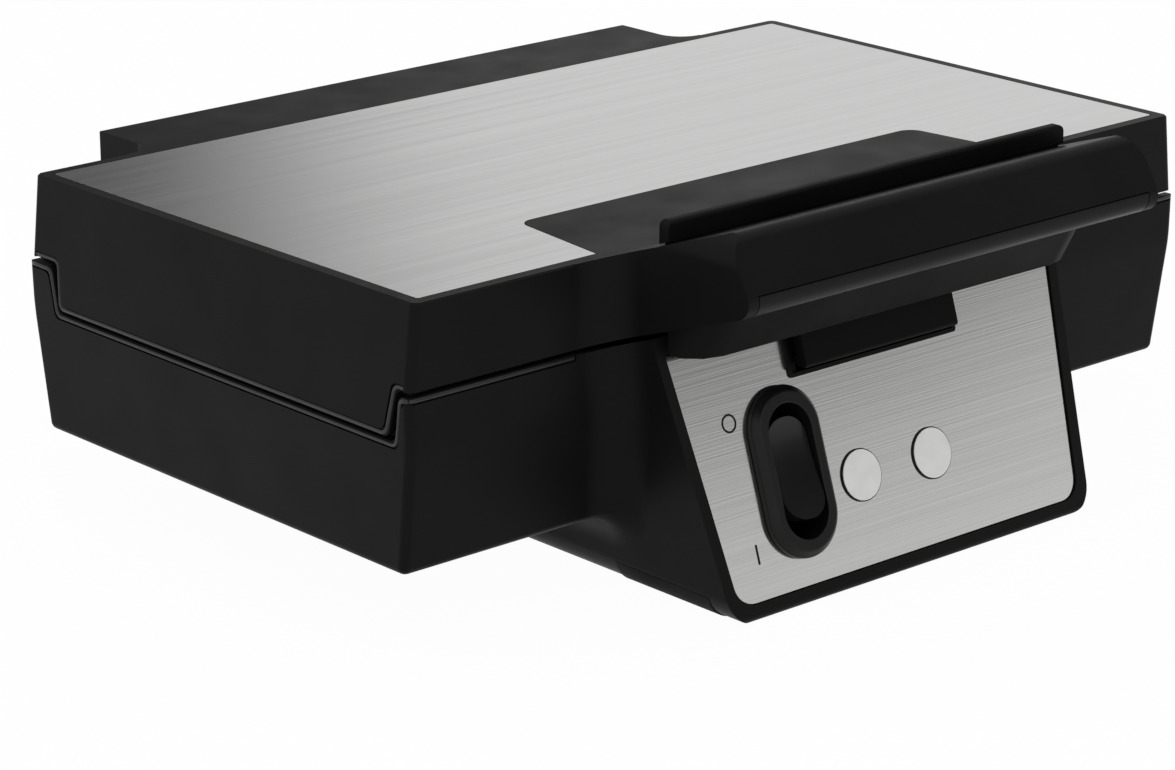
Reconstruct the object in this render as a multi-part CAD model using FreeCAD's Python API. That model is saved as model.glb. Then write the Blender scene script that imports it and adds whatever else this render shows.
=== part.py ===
import FreeCAD
import Part
import math
import os

V = FreeCAD.Vector
os.makedirs("parts", exist_ok=True)

# Heights in mm, stacked from the surface up
FOOT_PROUD = 0.4
PEDESTAL_H = 19.4
BASE_H = 44.0
PARTING_GAP = 1.2
LID_H = 20.7
SKIRT_DROP = 11.7

# Depths, stacked from the handle's nose to the hinge block's back
HANDLE_REACH = 46.6
LID_DEPTH = 151.0
BLOCK_REACH = 24.4

# Mouldings
WALL = 2.5
CORNER_R = 2.2
LID_HALF_W = 128.0
LID_SIDE_DRAFT = 0.105
LID_EDGE = 0.4
BASE_OVERHANG = 3.3
BASE_PROUD = 0.4
BASE_SIDE_TAPER = 1.6
BASE_END_TAPER = 4.3
BASE_BREAK_DROP = 12.0
BASE_BREAK_R = 40.0
BASE_EDGE_R = 2.0
STEP_FRONT = 4.9
STEP_REAR = 10.8
STEP_SLANT = 2.0
STEP_R = 2.0
REBATE_H = 1.5
REBATE = 0.6
ROOT_R = 11.0

# Steel sheet
SHEET = 0.8
SHEET_FIT = 0.25
RIM_W = 3.5
CUTOUT_DEPTH = 32.5
CUTOUT_HALF_REAR = 67.0
CUTOUT_HALF_FRONT = 71.0
CUTOUT_R = 4.5
ROOF = 2.4

# Handle slab, rising forward from the lid's front
HANDLE_HALF_W = 69.5
HANDLE_RISE = 13.2
CREST_BACK = 8.0
CREST_R = 3.5
NOSE_DROP = 0.6
NOSE_R = 2.5
LIP_NOSE_R = 4.5
HANDLE_END_R = 8.0
LIP_HALF_W = 66.0
LIP_CLEAR = 4.0
LIP_SEAM = 0.4
LIP_SCREW_INSET = 16.0
LIP_SCREW_GRIP = 5.0
LIP_SCREW_SINK = 2.0
SEAM_GAP = 0.3

# Latch clip, turning on a pin inside the handle
PIVOT_REACH = 18.2
PIVOT_DROP = 3.0
PIN_R = 2.0
RUN_FIT = 0.06
BARREL_R = 4.2
BARREL_HALF_W = 61.5
CLIP_T = 2.5
BEND_FLATS = 3
FIN_HALF_W = 67.0
FIN_T = 3.2
FIN_H = 6.0
FIN_GAP = 0.5
FIN_SET_BACK = 2.6
FIN_R = 1.0
NECK_HALF_W = 55.0
NECK_FIT = 0.4
NECK_TRAVEL = 1.7
SKIRT_HALF_W = 65.5
SKIRT_LIFT = 1.0
PULL_HALF_W = 66.0
PULL_END_R = 10.0
PULL_TAIL = 2.2
PULL_HIDDEN = 1.0
PULL_REACH = 30.6
PULL_TOP_DROP = 10.0
PULL_H = 11.6
PULL_LEAN = 0.543
TAB_HALF_W = 26.0
TAB_T = 3.0
TAB_STAND = 4.4
TAB_REACH = 32.0
NIB_H = 2.4
NIB_SLOT = 4.8
NIB_GAP = 0.4
SPRING_T = 0.5
SPRING_HALF_W = 4.0
SPRING_HALF_L = 3.0
SPRING_FORWARD = 8.5
SPRING_LOW = 0.6
SPRING_LEN = 7.7
SPRING_GAP = 0.3

# Hinge at the back
HINGE_R = 3.0
HINGE_INSET = 6.0
HINGE_RISE = 0.9
HINGE_REACH = 12.0
BLOCK_INSET = 36.7
BLOCK_FRONT_GAP = 2.8
BLOCK_ROOT_R = 8.0
EAR_W = 8.0
EAR_GAP = 0.4
EAR_R = 6.0
EAR_ROOT = 10.0
REAR_BLOCK_EDGE = 14.8
TROUGH_GAP = 2.2

# Control housing and pedestal
FOOT_HALF_W = 62.0
FOOT_FLARE = 0.0965
FOOT_EDGE_R = 8.0
FOOT_NOSE_R = 1.5
PANEL_SLOPE = 0.329
PANEL_W_LOW = 117.4
PANEL_W_HIGH = 130.2
PANEL_H = 62.0
PANEL_LOW = 4.1
PANEL_REACH = 33.2
PANEL_R = 6.0
PANEL_FRAME = 0.6
NOTCH_HALF_W = 28.5
NOTCH_H = 13.0
NOTCH_R = 1.0
NOTCH_STEP = 1.0
HOUSING_TOP_RISE = 4.2
HOUSING_ROOT_DROP = 0.2
HOUSING_ROOT = 20.0
PEDESTAL_ROOT = 6.0
HOUSING_ROOF = 6.0

# Controls on the panel, placed from its lower edge's middle
SWITCH_U = -34.2
SWITCH_V = 27.5
BEZEL_L = 42.0
BEZEL_W = 22.0
BEZEL_H = 3.2
BEZEL_SLEEVE = 2.0
SLEEVE_CUT = 5.2
SWITCH_OPEN_L = 33.0
SWITCH_OPEN_W = 14.0
SWITCH_DEPTH = 9.0
SWITCH_BODY_H = 13.0
BLADE_W = 4.8
BLADE_L = 8.0
BLADE_PITCH = 9.0
ROCKER_FIT = 0.5
ROCKER_TILT = 7.0
ROCKER_DISH = 1.2
ROCKER_T = 3.0
ROCKER_RISE = 6.9
ROCKER_END_GAP = 4.0
ROCKER_PIVOT = -4.0
AXLE_R = 1.5
LAMP_U = 12.2
LAMP_V = 21.7
LAMP_R = 6.2
LAMP_TUBE_R = 4.5
LAMP_TUBE_L = 12.0
LAMP_FIT = 0.25
BULB_R = 3.1
BULB_L = 9.0
BULB_LEAD = 7.0

# Ring moulds
PLATE_SIDE_GAP = 2.0
PLATE_END_GAP = 4.5
PLATE_SINK = 0.2
PLATE_WEB = 3.0
PLATE_GAP = 0.5
RING_SECTION_R = 9.5
RING_FLOOR = 0.87
RING_FLATS = 24
RING_LAND = 3.0
RING_MARGIN = 9.0
RING_COLUMNS = 3
RING_ROWS = 2
HUMP_WALL = 2.5
FLANGE_T = 2.0
FLANGE_H = 11.0
POST_R = 5.0
POST_FLATS = 8
SHIELD_STANDOFF = 2.6
SHIELD_MARGIN = 8.0
SHIELD_LIP = 3.0
ELEMENT_R = 3.25
ELEMENT_FLATS = 6
ELEMENT_BEND_R = 9.0
ELEMENT_LANE_GAP = 5.8
ELEMENT_EDGE_GAP = 8.0
ELEMENT_END_GAP = 25.0
COLD_PIN_R = 1.6
COLD_PIN_L = 9.0

# Screws
SCREW_R = 2.0
SCREW_FIT = 0.05
SCREW_PASS = 0.35
SCREW_HEAD_R = 3.7
SCREW_HEAD_H = 2.6
SCREW_GRIP = 8.0
SCREW_FLOOR = 5.0
HEAD_FIT = 0.5
SMALL_SCREW_R = 1.4
SMALL_HEAD_R = 2.8
SMALL_HEAD_H = 1.8

# Underside and inner pieces
COVER_HALF_W = 44.0
COVER_LEDGE = 3.0
COVER_T = 2.0
COVER_FIT = 0.3
COVER_FRONT_BACK = 40.0
COVER_MARGIN = 14.0
GUSSET = 12.0
GUSSET_T = 8.0
VENT_W = 3.0
VENT_L = 50.0
VENT_COUNT = 7
VENT_PITCH = 9.0
PAD_L = 32.5
PAD_H = 5.9
PAD_W = 14.0
PAD_FRONT_BACK = 8.0
PAD_REAR_BACK = 10.0
PAD_FIT = 0.1
GLAND_X = 60.0
GLAND_DROP = 22.0
GLAND_BORE_R = 3.6
GLAND_SLEEVE_R = 5.6
GLAND_FLANGE_R = 8.0
GLAND_FLANGE_T = 2.4
GLAND_L = 14.0
GLAND_FIT = 0.1
TERMINAL_L = 42.0
TERMINAL_W = 18.0
TERMINAL_H = 15.0
TERMINAL_WAYS = 3
TERMINAL_WAY_W = 4.4
TERMINAL_GAP = 12.0
STAT_L = 30.0
STAT_W = 6.0
STAT_H = 8.0
STAT_FOOT_T = 1.2
STAT_LEAVES = 3
STAT_LEAF_PITCH = 1.6
STAT_LEAF_T = 0.6
STAT_STACK_L = 12.0
FUSE_R = 2.4
FUSE_L = 18.0
FUSE_CLIP_T = 0.8

# Planes worked out from the sizes above
LENGTH = HANDLE_REACH + LID_DEPTH + BLOCK_REACH
NOSE = -LENGTH / 2
FRONT = NOSE + HANDLE_REACH
REAR = FRONT + LID_DEPTH
BACK = REAR + BLOCK_REACH
BASE_BACK = BACK - GLAND_FLANGE_T
Z_FOOT = FOOT_PROUD
Z_FLOOR = Z_FOOT + PEDESTAL_H
Z_BASE = Z_FLOOR + BASE_H
Z_LID = Z_BASE + PARTING_GAP
Z_TOP = Z_LID + LID_H
Z_SKIRT = Z_LID - SKIRT_DROP
BASE_HALF_W = LID_HALF_W + BASE_OVERHANG
BLOCK_HALF_W = LID_HALF_W - BLOCK_INSET
RISE_SLOPE = HANDLE_RISE / (FRONT - NOSE - CREST_BACK)
Z_ROOF = Z_TOP - SHEET - ROOF
HINGE_Y = BACK - HINGE_INSET
HINGE_Z = Z_BASE + HINGE_RISE
PIVOT_Y = FRONT - PIVOT_REACH
PIVOT_Z = Z_TOP - PIVOT_DROP
PANEL_Y = FRONT - PANEL_REACH
PANEL_Z = Z_FOOT + PANEL_LOW
PANEL_TURN = 90.0 - math.degrees(math.atan(PANEL_SLOPE))
PANEL_COS = math.cos(math.atan(PANEL_SLOPE))
PULL_Y = FRONT - PULL_REACH
LIP_BACK = PULL_Y - PULL_LEAN * PULL_HIDDEN - LIP_CLEAR
PLATE_Y = (FRONT + REAR) / 2
PLATE_HALF_W = LID_HALF_W - PLATE_SIDE_GAP
PLATE_HALF_D = LID_DEPTH / 2 - PLATE_END_GAP
RING_PITCH_X = 2.0 * (PLATE_HALF_W - RING_MARGIN) / RING_COLUMNS
RING_PITCH_Y = 2.0 * (PLATE_HALF_D - RING_MARGIN) / RING_ROWS
RING_R = min(RING_PITCH_X, RING_PITCH_Y) / 2 - RING_SECTION_R - RING_LAND
ELEMENT_LANE = PLATE_HALF_D - ELEMENT_LANE_GAP
ELEMENT_OUTER = PLATE_HALF_W - ELEMENT_EDGE_GAP
ELEMENT_END = PLATE_HALF_D - ELEMENT_END_GAP
Z_UPPER = Z_LID - PLATE_SINK
Z_LOWER = Z_UPPER - PLATE_GAP
HUMP_H = RING_SECTION_R + HUMP_WALL
FAR = 400.0
SLIVER = 0.01
LAP = 0.5


def at_x(x):
    return lambda p: V(x, p.x, p.y)


def at_y(y):
    return lambda p: V(p.x, y, p.y)


def at_z(z):
    return lambda p: V(p.x, p.y, z)


def outline(corners, place):
    """Face through (u, v, radius) corners, each rounded by its radius."""
    bends = []
    for index, (u, v, radius) in enumerate(corners):
        here = V(u, v, 0)
        back = V(corners[index - 1][0], corners[index - 1][1], 0) - here
        ahead = corners[(index + 1) % len(corners)]
        ahead = V(ahead[0], ahead[1], 0) - here
        back.normalize()
        ahead.normalize()
        half = back.getAngle(ahead) / 2
        run = radius / math.tan(half) if radius else 0.0
        middle = (back + ahead).normalize() * (radius / math.sin(half) - radius) if radius else V()
        bends.append((here + back * run, here + middle, here + ahead * run, radius))
    edges = []
    for index, (start, middle, end, radius) in enumerate(bends):
        if radius:
            edges.append(Part.Arc(place(start), place(middle), place(end)).toShape())
        following = bends[(index + 1) % len(bends)][0]
        if end.distanceToPoint(following) > 1e-6:
            edges.append(Part.LineSegment(place(end), place(following)).toShape())
    return Part.Face(Part.Wire(edges))


def slab_x(corners, low, high):
    return outline(corners, at_x(low)).extrude(V(high - low, 0, 0))


def slab_y(corners, low, high):
    return outline(corners, at_y(low)).extrude(V(0, high - low, 0))


def slab_z(corners, low, high):
    return outline(corners, at_z(low)).extrude(V(0, 0, high - low))


def box(low, high):
    size = V(*high) - V(*low)
    return Part.makeBox(size.x, size.y, size.z, V(*low))


def rod(radius, start, end):
    run = V(*end) - V(*start)
    return Part.makeCylinder(radius, run.Length, V(*start), run)


def prism(radius, x, y, low, high):
    """Upright post or hole with flat sides around a circle."""
    reach = radius / math.cos(math.pi / POST_FLATS)
    corners = []
    for step in range(POST_FLATS):
        angle = 2.0 * math.pi * (step + 0.5) / POST_FLATS
        corners.append((x + reach * math.cos(angle), y + reach * math.sin(angle), 0))
    return slab_z(corners, low, high)


def both_sides(shape):
    return shape.fuse(shape.mirror(V(), V(1, 0, 0)))


def mirrored(shape):
    return shape.mirror(V(), V(1, 0, 0))


def fuse(shapes):
    whole = shapes[0]
    if len(shapes) > 1:
        whole = whole.multiFuse(shapes[1:])
    whole = whole.removeSplitter()
    return whole.Solids[0] if len(whole.Solids) == 1 else whole


def save(name, shape):
    shape.exportStep("parts/" + name + ".step")


def upright_edges(shape):
    """Edges that run mostly up and down: the corners of a tub or a lid."""
    found = []
    for edge in shape.Edges:
        run = edge.valueAt(edge.LastParameter) - edge.valueAt(edge.FirstParameter)
        if abs(run.z) > 0.9 * run.Length:
            found.append(edge)
    return found


def level_edges(shape, z):
    found = []
    for edge in shape.Edges:
        size = edge.BoundBox
        if abs(size.ZMin - z) < 1e-4 and abs(size.ZMax - z) < 1e-4:
            found.append(edge)
    return found


def lid_form(grow, top, bottom):
    """Lid's block with drafted sides, grown by an offset; outer corners are rounded."""
    half_top = LID_HALF_W + grow + LID_SIDE_DRAFT * (Z_TOP - top)
    half_low = LID_HALF_W + grow + LID_SIDE_DRAFT * (Z_TOP - bottom)
    body = slab_y([(-half_top, top, 0), (half_top, top, 0), (half_low, bottom, 0), (-half_low, bottom, 0)],
                  FRONT - grow, REAR + grow)
    if grow < 0:
        return body
    return body.makeFillet(CORNER_R, upright_edges(body))


def base_form(grow, top):
    """Tub of the base: ends upright to a break, then tapering in to the floor."""
    low = Z_FLOOR - grow
    end = BASE_PROUD + grow
    breaks = Z_BASE - BASE_BREAK_DROP
    half_top = BASE_HALF_W + grow
    half_low = half_top - BASE_SIDE_TAPER
    along = slab_x([(FRONT - end, top, 0), (FRONT - end, breaks, BASE_BREAK_R),
                    (FRONT - end + BASE_END_TAPER, low, 0), (REAR + end - BASE_END_TAPER, low, 0),
                    (REAR + end, breaks, BASE_BREAK_R), (REAR + end, top, 0)], -FAR, FAR)
    across = slab_y([(-half_top, top, 0), (half_top, top, 0), (half_low, low, 0), (-half_low, low, 0)],
                    -FAR, FAR)
    body = along.common(across)
    if grow < 0:
        return body
    body = body.makeFillet(CORNER_R, upright_edges(body))
    return body.makeFillet(BASE_EDGE_R, level_edges(body, low))


def above_parting(lift):
    """Everything above the stepped parting line, which dips along both sides."""
    front = FRONT + STEP_FRONT + lift
    rear = REAR - STEP_REAR - lift
    high = Z_LID + lift
    low = Z_SKIRT + lift
    return slab_x([(-FAR, high, 0), (front, high, STEP_R), (front + STEP_SLANT, low, STEP_R),
                   (rear - STEP_SLANT, low, STEP_R), (rear, high, STEP_R), (FAR, high, 0),
                   (FAR, FAR, 0), (-FAR, FAR, 0)], -FAR, FAR)


def parting_strip(lift, inner, start, end):
    """Band along the stepped parting line, outside a shell's set-back edge."""
    band = above_parting(lift).cut(above_parting(lift + REBATE_H)).cut(inner)
    return band.common(box((-FAR, start, 0), (FAR, end, FAR)))


def foot_half(z):
    return FOOT_HALF_W + FOOT_FLARE * (z - Z_FOOT)


def panel_y(z, stand):
    """Front of the control panel's plane at a height, standing off it by a distance."""
    return PANEL_Y + PANEL_SLOPE * (z - PANEL_Z) - stand / PANEL_COS


def foot_form(grow, bottom):
    """Control housing at the front with the pedestal that runs under the tub."""
    top_root = Z_BASE - HOUSING_ROOT_DROP + grow
    top_front = Z_BASE + HOUSING_TOP_RISE + grow
    stand = PANEL_FRAME + grow
    rounding = 0.0 if grow < 0 else 1.0
    inside = FRONT + HOUSING_ROOT
    under = Z_FLOOR + PEDESTAL_ROOT
    profile = [(inside, top_root, 0), (FRONT, top_root, 0), (panel_y(top_front, stand), top_front, 0),
               (panel_y(bottom, stand), bottom, FOOT_NOSE_R * rounding),
               (BASE_BACK + grow, bottom, FOOT_NOSE_R * rounding), (BASE_BACK + grow, under, 0),
               (inside, under, 0)]
    half_low = foot_half(bottom) + grow
    half_high = foot_half(Z_TOP) + grow
    edge_r = FOOT_EDGE_R + grow
    section = [(-half_low, bottom, edge_r), (half_low, bottom, edge_r),
               (half_high, Z_TOP, 0), (-half_high, Z_TOP, 0)]
    return slab_x(profile, -FAR, FAR).common(slab_y(section, -FAR, FAR))


def on_panel(shape):
    """Place a shape drawn flat on the panel: u across, v up the slope, z outwards."""
    tilt = FreeCAD.Placement(V(0, PANEL_Y, PANEL_Z), FreeCAD.Rotation(V(1, 0, 0), PANEL_TURN))
    shape.Placement = tilt.multiply(shape.Placement)
    return shape


def stadium(length, width, low, high):
    """Oval with round ends around the switch's centre, drawn on the panel."""
    reach = length / 2
    side = width / 2
    bend = side - SLIVER
    return slab_z([(SWITCH_U - side, SWITCH_V - reach, bend), (SWITCH_U + side, SWITCH_V - reach, bend),
                   (SWITCH_U + side, SWITCH_V + reach, bend), (SWITCH_U - side, SWITCH_V + reach, bend)],
                  low, high)


def sleeve_form(fit, low, high):
    """Switch's sleeve with cut-off corners, or the hole it passes through."""
    reach = BEZEL_L / 2 - BEZEL_SLEEVE - fit
    side = BEZEL_W / 2 - BEZEL_SLEEVE - fit
    corners = []
    for u, v in ((-1, -1), (1, -1), (1, 1), (-1, 1)):
        near = (SWITCH_U + u * (side - SLEEVE_CUT), SWITCH_V + v * reach, 0)
        far = (SWITCH_U + u * side, SWITCH_V + v * (reach - SLEEVE_CUT), 0)
        corners += [far, near] if u == v else [near, far]
    return slab_z(corners, low, high)


def ring_centres():
    spots = []
    for column in range(RING_COLUMNS):
        for row in range(RING_ROWS):
            x = (column - (RING_COLUMNS - 1) / 2) * RING_PITCH_X
            y = PLATE_Y + (row - (RING_ROWS - 1) / 2) * RING_PITCH_Y
            spots.append((x, y))
    return spots


def post_spots():
    """Middles of the rings in the outer columns, where the moulds are screwed down."""
    return [(x, y) for x, y in ring_centres() if abs(x) > RING_PITCH_X / 2]


# Lid shell: drafted hood with the handle slab in front and the hinge block behind
def handle_corners(inset):
    slope_run = math.hypot(1.0, RISE_SLOPE)
    crest_y = NOSE + CREST_BACK
    top = Z_TOP - inset * slope_run
    return [(FRONT + 2.0 * WALL, Z_TOP - inset, 0), (FRONT, top, 0),
            (crest_y + inset, top + RISE_SLOPE * (FRONT - crest_y - inset), max(CREST_R - inset, 0)),
            (NOSE + inset, Z_TOP - NOSE_DROP, max(NOSE_R - inset, 0)),
            (NOSE + inset, Z_LID + RISE_SLOPE * (FRONT - NOSE), LIP_NOSE_R),
            (FRONT, Z_LID, 0), (FRONT + 2.0 * WALL, Z_LID, 0)]


def handle_slab():
    band = slab_x(handle_corners(0.0), -FAR, FAR)
    crest = Z_TOP + HANDLE_RISE
    ends = slab_y([(-HANDLE_HALF_W, 0, 0), (HANDLE_HALF_W, 0, 0), (HANDLE_HALF_W, crest, HANDLE_END_R),
                   (-HANDLE_HALF_W, crest, HANDLE_END_R)], -FAR, FAR)
    inner = HANDLE_HALF_W - LAP
    outer = HANDLE_HALF_W + ROOT_R
    root = slab_z([(inner, FRONT + WALL, 0), (inner, FRONT - ROOT_R, 0), (HANDLE_HALF_W, FRONT - ROOT_R, 0),
                   (HANDLE_HALF_W, FRONT, ROOT_R - SLIVER), (outer, FRONT, 0), (outer, FRONT + WALL, 0)],
                  0, FAR)
    return fuse([band.common(ends), both_sides(root.common(band))])


def handle_hollow():
    back, crest, nose = handle_corners(WALL)[1:4]
    low = Z_LID - WALL
    half = HANDLE_HALF_W - WALL
    inner = slab_x([back, crest, nose, (nose[0], low, 0), (back[0], low, 0)], -half, half)
    bend = HANDLE_END_R - WALL
    ends = slab_y([(-half, 0, 0), (half, 0, 0), (half, crest[1], bend), (-half, crest[1], bend)],
                  NOSE, FRONT - WALL)
    return inner.common(ends)


def lip_region(fit):
    """Lower front of the handle, below the seam: the lip's place."""
    half = LIP_HALF_W + fit
    return box((-half, NOSE - fit - LAP, Z_LID), (half, LIP_BACK + fit, Z_TOP - LIP_SEAM + fit))


def hinge_block():
    low = HINGE_Z - EAR_R
    start = REAR + BLOCK_FRONT_GAP
    profile = [(REAR - WALL, Z_TOP, 0), (BACK, Z_TOP, LID_EDGE), (BACK, low, EAR_R - SLIVER), (start, low, 0),
               (start, Z_LID, 0), (REAR - WALL, Z_LID, 0)]
    band = slab_x(profile, -FAR, FAR)
    half = slab_z([(0, REAR - WALL, 0), (BLOCK_HALF_W + BLOCK_ROOT_R, REAR - WALL, 0),
                   (BLOCK_HALF_W + BLOCK_ROOT_R, REAR, 0), (BLOCK_HALF_W, REAR, BLOCK_ROOT_R - SLIVER),
                   (BLOCK_HALF_W, BACK + LAP, 0), (0, BACK + LAP, 0)], Z_LID, FAR)
    low_half = box((0, start, 0), (BLOCK_HALF_W, BACK, Z_LID))
    return both_sides(fuse([half.common(band), low_half.common(band)]))


def top_sheet(fit, low, high):
    """Outline of the steel top with its cut-out for the handle's root."""
    half = LID_HALF_W - RIM_W + fit
    front = FRONT + RIM_W - fit
    rear = REAR - RIM_W + fit
    cut_front = CUTOUT_HALF_FRONT - fit
    cut_rear = CUTOUT_HALF_REAR - fit
    cut_y = FRONT + RIM_W + CUTOUT_DEPTH - fit
    return slab_z([(-half, front, SHEET), (-cut_front, front, 0), (-cut_rear, cut_y, CUTOUT_R),
                   (cut_rear, cut_y, CUTOUT_R), (cut_front, front, 0), (half, front, SHEET),
                   (half, rear, SHEET), (-half, rear, SHEET)], low, high)


Z_SHIELD_UP = Z_UPPER + HUMP_H + SHIELD_STANDOFF
LIP_SCREW_X = LIP_HALF_W - LIP_SCREW_INSET
LIP_SCREW_Y = (NOSE + LIP_BACK) / 2
LIP_SCREW_Z = Z_LID + RISE_SLOPE * (FRONT - LIP_SCREW_Y) + LIP_SCREW_SINK
Z_LIP_TOP = Z_TOP - LIP_SEAM
SPRING_Y = PIVOT_Y - SPRING_FORWARD
Z_SPRING = PIVOT_Z + SPRING_LOW
FIN_Y = PIVOT_Y + FIN_SET_BACK
UPPER_SEAT = Z_TOP - SHEET - SCREW_HEAD_H
PIN_HALF_L = HANDLE_HALF_W - WALL / 2


def roof_at(y):
    return Z_TOP + RISE_SLOPE * (FRONT - y)


def lid_shell():
    hood = lid_form(0.0, Z_TOP, Z_SKIRT - LAP)
    hood = hood.makeChamfer(LID_EDGE, level_edges(hood, Z_TOP)).common(above_parting(0.0))
    set_back = lid_form(-REBATE, Z_TOP, Z_SKIRT - LAP)
    hood = hood.cut(parting_strip(0.0, set_back, FRONT + CORNER_R, REAR - CORNER_R))
    body = fuse([hood, handle_slab(), hinge_block()])
    body = body.cut(lid_form(-WALL, Z_ROOF, Z_SKIRT - WALL))
    body = body.cut(handle_hollow())
    body = body.cut(top_sheet(SHEET_FIT, Z_TOP - SHEET, FAR))
    hollow_half = BLOCK_HALF_W - HINGE_REACH - WALL
    body = body.cut(box((-hollow_half, REAR - 2.0 * WALL, Z_LID + WALL), (hollow_half, BACK - WALL, Z_ROOF)))
    inside = slab_x(handle_corners(WALL / 2), -FAR, FAR)
    added = [prism(POST_R, x, y, Z_SHIELD_UP + SHEET, Z_ROOF + LAP) for x, y in post_spots()]
    for side in (-1, 1):
        added.append(rod(BARREL_R, (side * (BARREL_HALF_W + LAP), PIVOT_Y, PIVOT_Z),
                         (side * (HANDLE_HALF_W - LAP), PIVOT_Y, PIVOT_Z)))
        boss = prism(SMALL_HEAD_R + LIP_SEAM, side * LIP_SCREW_X, LIP_SCREW_Y, Z_LIP_TOP + SEAM_GAP, FAR)
        added.append(boss.common(inside))
    seat = box((-SPRING_HALF_W, SPRING_Y - SPRING_HALF_L, Z_SPRING + SPRING_LEN),
               (SPRING_HALF_W, SPRING_Y + SPRING_HALF_L, FAR))
    added.append(seat.common(inside))
    body = fuse([body] + added)
    body = body.cut(lip_region(SEAM_GAP).common(slab_x(handle_corners(0.0), -FAR, FAR)))
    for x, y in post_spots():
        body = body.cut(prism(SCREW_HEAD_R + HEAD_FIT, x, y, UPPER_SEAT, Z_TOP))
        body = body.cut(prism(SCREW_R + SCREW_PASS, x, y, Z_SHIELD_UP, Z_TOP))
    body = body.cut(rod(PIN_R, (-PIN_HALF_L, PIVOT_Y, PIVOT_Z), (PIN_HALF_L, PIVOT_Y, PIVOT_Z)))
    for side in (-1, 1):
        x = side * LIP_SCREW_X
        tip = Z_LIP_TOP + LIP_SCREW_GRIP + LAP
        body = body.cut(prism(SMALL_SCREW_R + SCREW_FIT, x, LIP_SCREW_Y, Z_LID, tip))
        inner = side * (BLOCK_HALF_W - HINGE_REACH)
        body = body.cut(rod(HINGE_R + RUN_FIT, (inner, HINGE_Y, HINGE_Z), (side * FAR, HINGE_Y, HINGE_Z)))
    half = NECK_HALF_W + NECK_FIT
    front = FIN_Y - CLIP_T / 2 - NECK_FIT
    rear = FIN_Y + CLIP_T / 2 + NECK_TRAVEL
    window = box((-half, front, PIVOT_Z), (half, rear, FAR))
    half = SKIRT_HALF_W + NECK_FIT
    return body.cut(window.fuse(box((-half, front, PIVOT_Z + BARREL_R + NECK_FIT), (half, rear, FAR))))


save("lid_shell", lid_shell())
save("lid_top_plate", top_sheet(0.0, Z_TOP - SHEET, Z_TOP))


# Handle lip: trim below the seam, screwed up into the handle
def lip_screw(x):
    head = prism(SMALL_HEAD_R, x, LIP_SCREW_Y, LIP_SCREW_Z, LIP_SCREW_Z + SMALL_HEAD_H)
    return fuse([head, prism(SMALL_SCREW_R, x, LIP_SCREW_Y, LIP_SCREW_Z + LAP, Z_LIP_TOP + LIP_SCREW_GRIP)])


def handle_lip():
    lip = slab_x(handle_corners(0.0), -FAR, FAR).common(lip_region(0.0))
    seat = LIP_SCREW_Z + SMALL_HEAD_H
    for x in (-LIP_SCREW_X, LIP_SCREW_X):
        lip = lip.cut(prism(SMALL_SCREW_R + SCREW_PASS, x, LIP_SCREW_Y, 0, FAR))
        lip = lip.cut(prism(SMALL_HEAD_R + SCREW_PASS, x, LIP_SCREW_Y, 0, seat))
    return lip


save("handle_lip", handle_lip())
save("handle_screws", Part.makeCompound([lip_screw(-LIP_SCREW_X), lip_screw(LIP_SCREW_X)]))


# Latch clip: fin on a neck through the handle, barrel on the pin, pull wall and tab below
def bent(cx, cy, radius, start):
    """Corners along a quarter turn in flats, turning clockwise from an angle."""
    turns = [math.radians(start - 90.0 * step / BEND_FLATS) for step in range(BEND_FLATS + 1)]
    return [(cx + radius * math.cos(turn), cy + radius * math.sin(turn), 0) for turn in turns]


def pull_wall():
    lean = V(0, PULL_LEAN, -1.0)
    back = FRONT - PIVOT_REACH + PULL_TAIL
    bend_x = PULL_HALF_W - PULL_END_R
    bend_y = PULL_Y + PULL_END_R
    inner = PULL_HALF_W - CLIP_T
    small = PULL_END_R - CLIP_T
    rear = PULL_Y + CLIP_T
    right = bent(bend_x, bend_y, PULL_END_R, 0.0) + [(bend_x - LAP, PULL_Y, 0), (bend_x - LAP, rear, 0)]
    right += bent(bend_x, bend_y, small, 0.0)[::-1] + [(inner, FAR, 0), (PULL_HALF_W, FAR, 0)]
    top_z = Z_TOP - PULL_TOP_DROP
    corner = outline(right, at_z(top_z)).translated(lean * -PULL_HIDDEN)
    corner = corner.extrude(lean * (PULL_H + PULL_HIDDEN))
    flat = [(-bend_x, PULL_Y, 0), (bend_x, PULL_Y, 0), (bend_x, rear, 0), (-bend_x, rear, 0)]
    face = outline(flat, at_z(top_z)).translated(lean * -PULL_HIDDEN).extrude(lean * (PULL_H + PULL_HIDDEN))
    wall = fuse([face, both_sides(corner)])
    return wall.common(box((-FAR, -FAR, 0), (FAR, back, FAR)))


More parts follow.
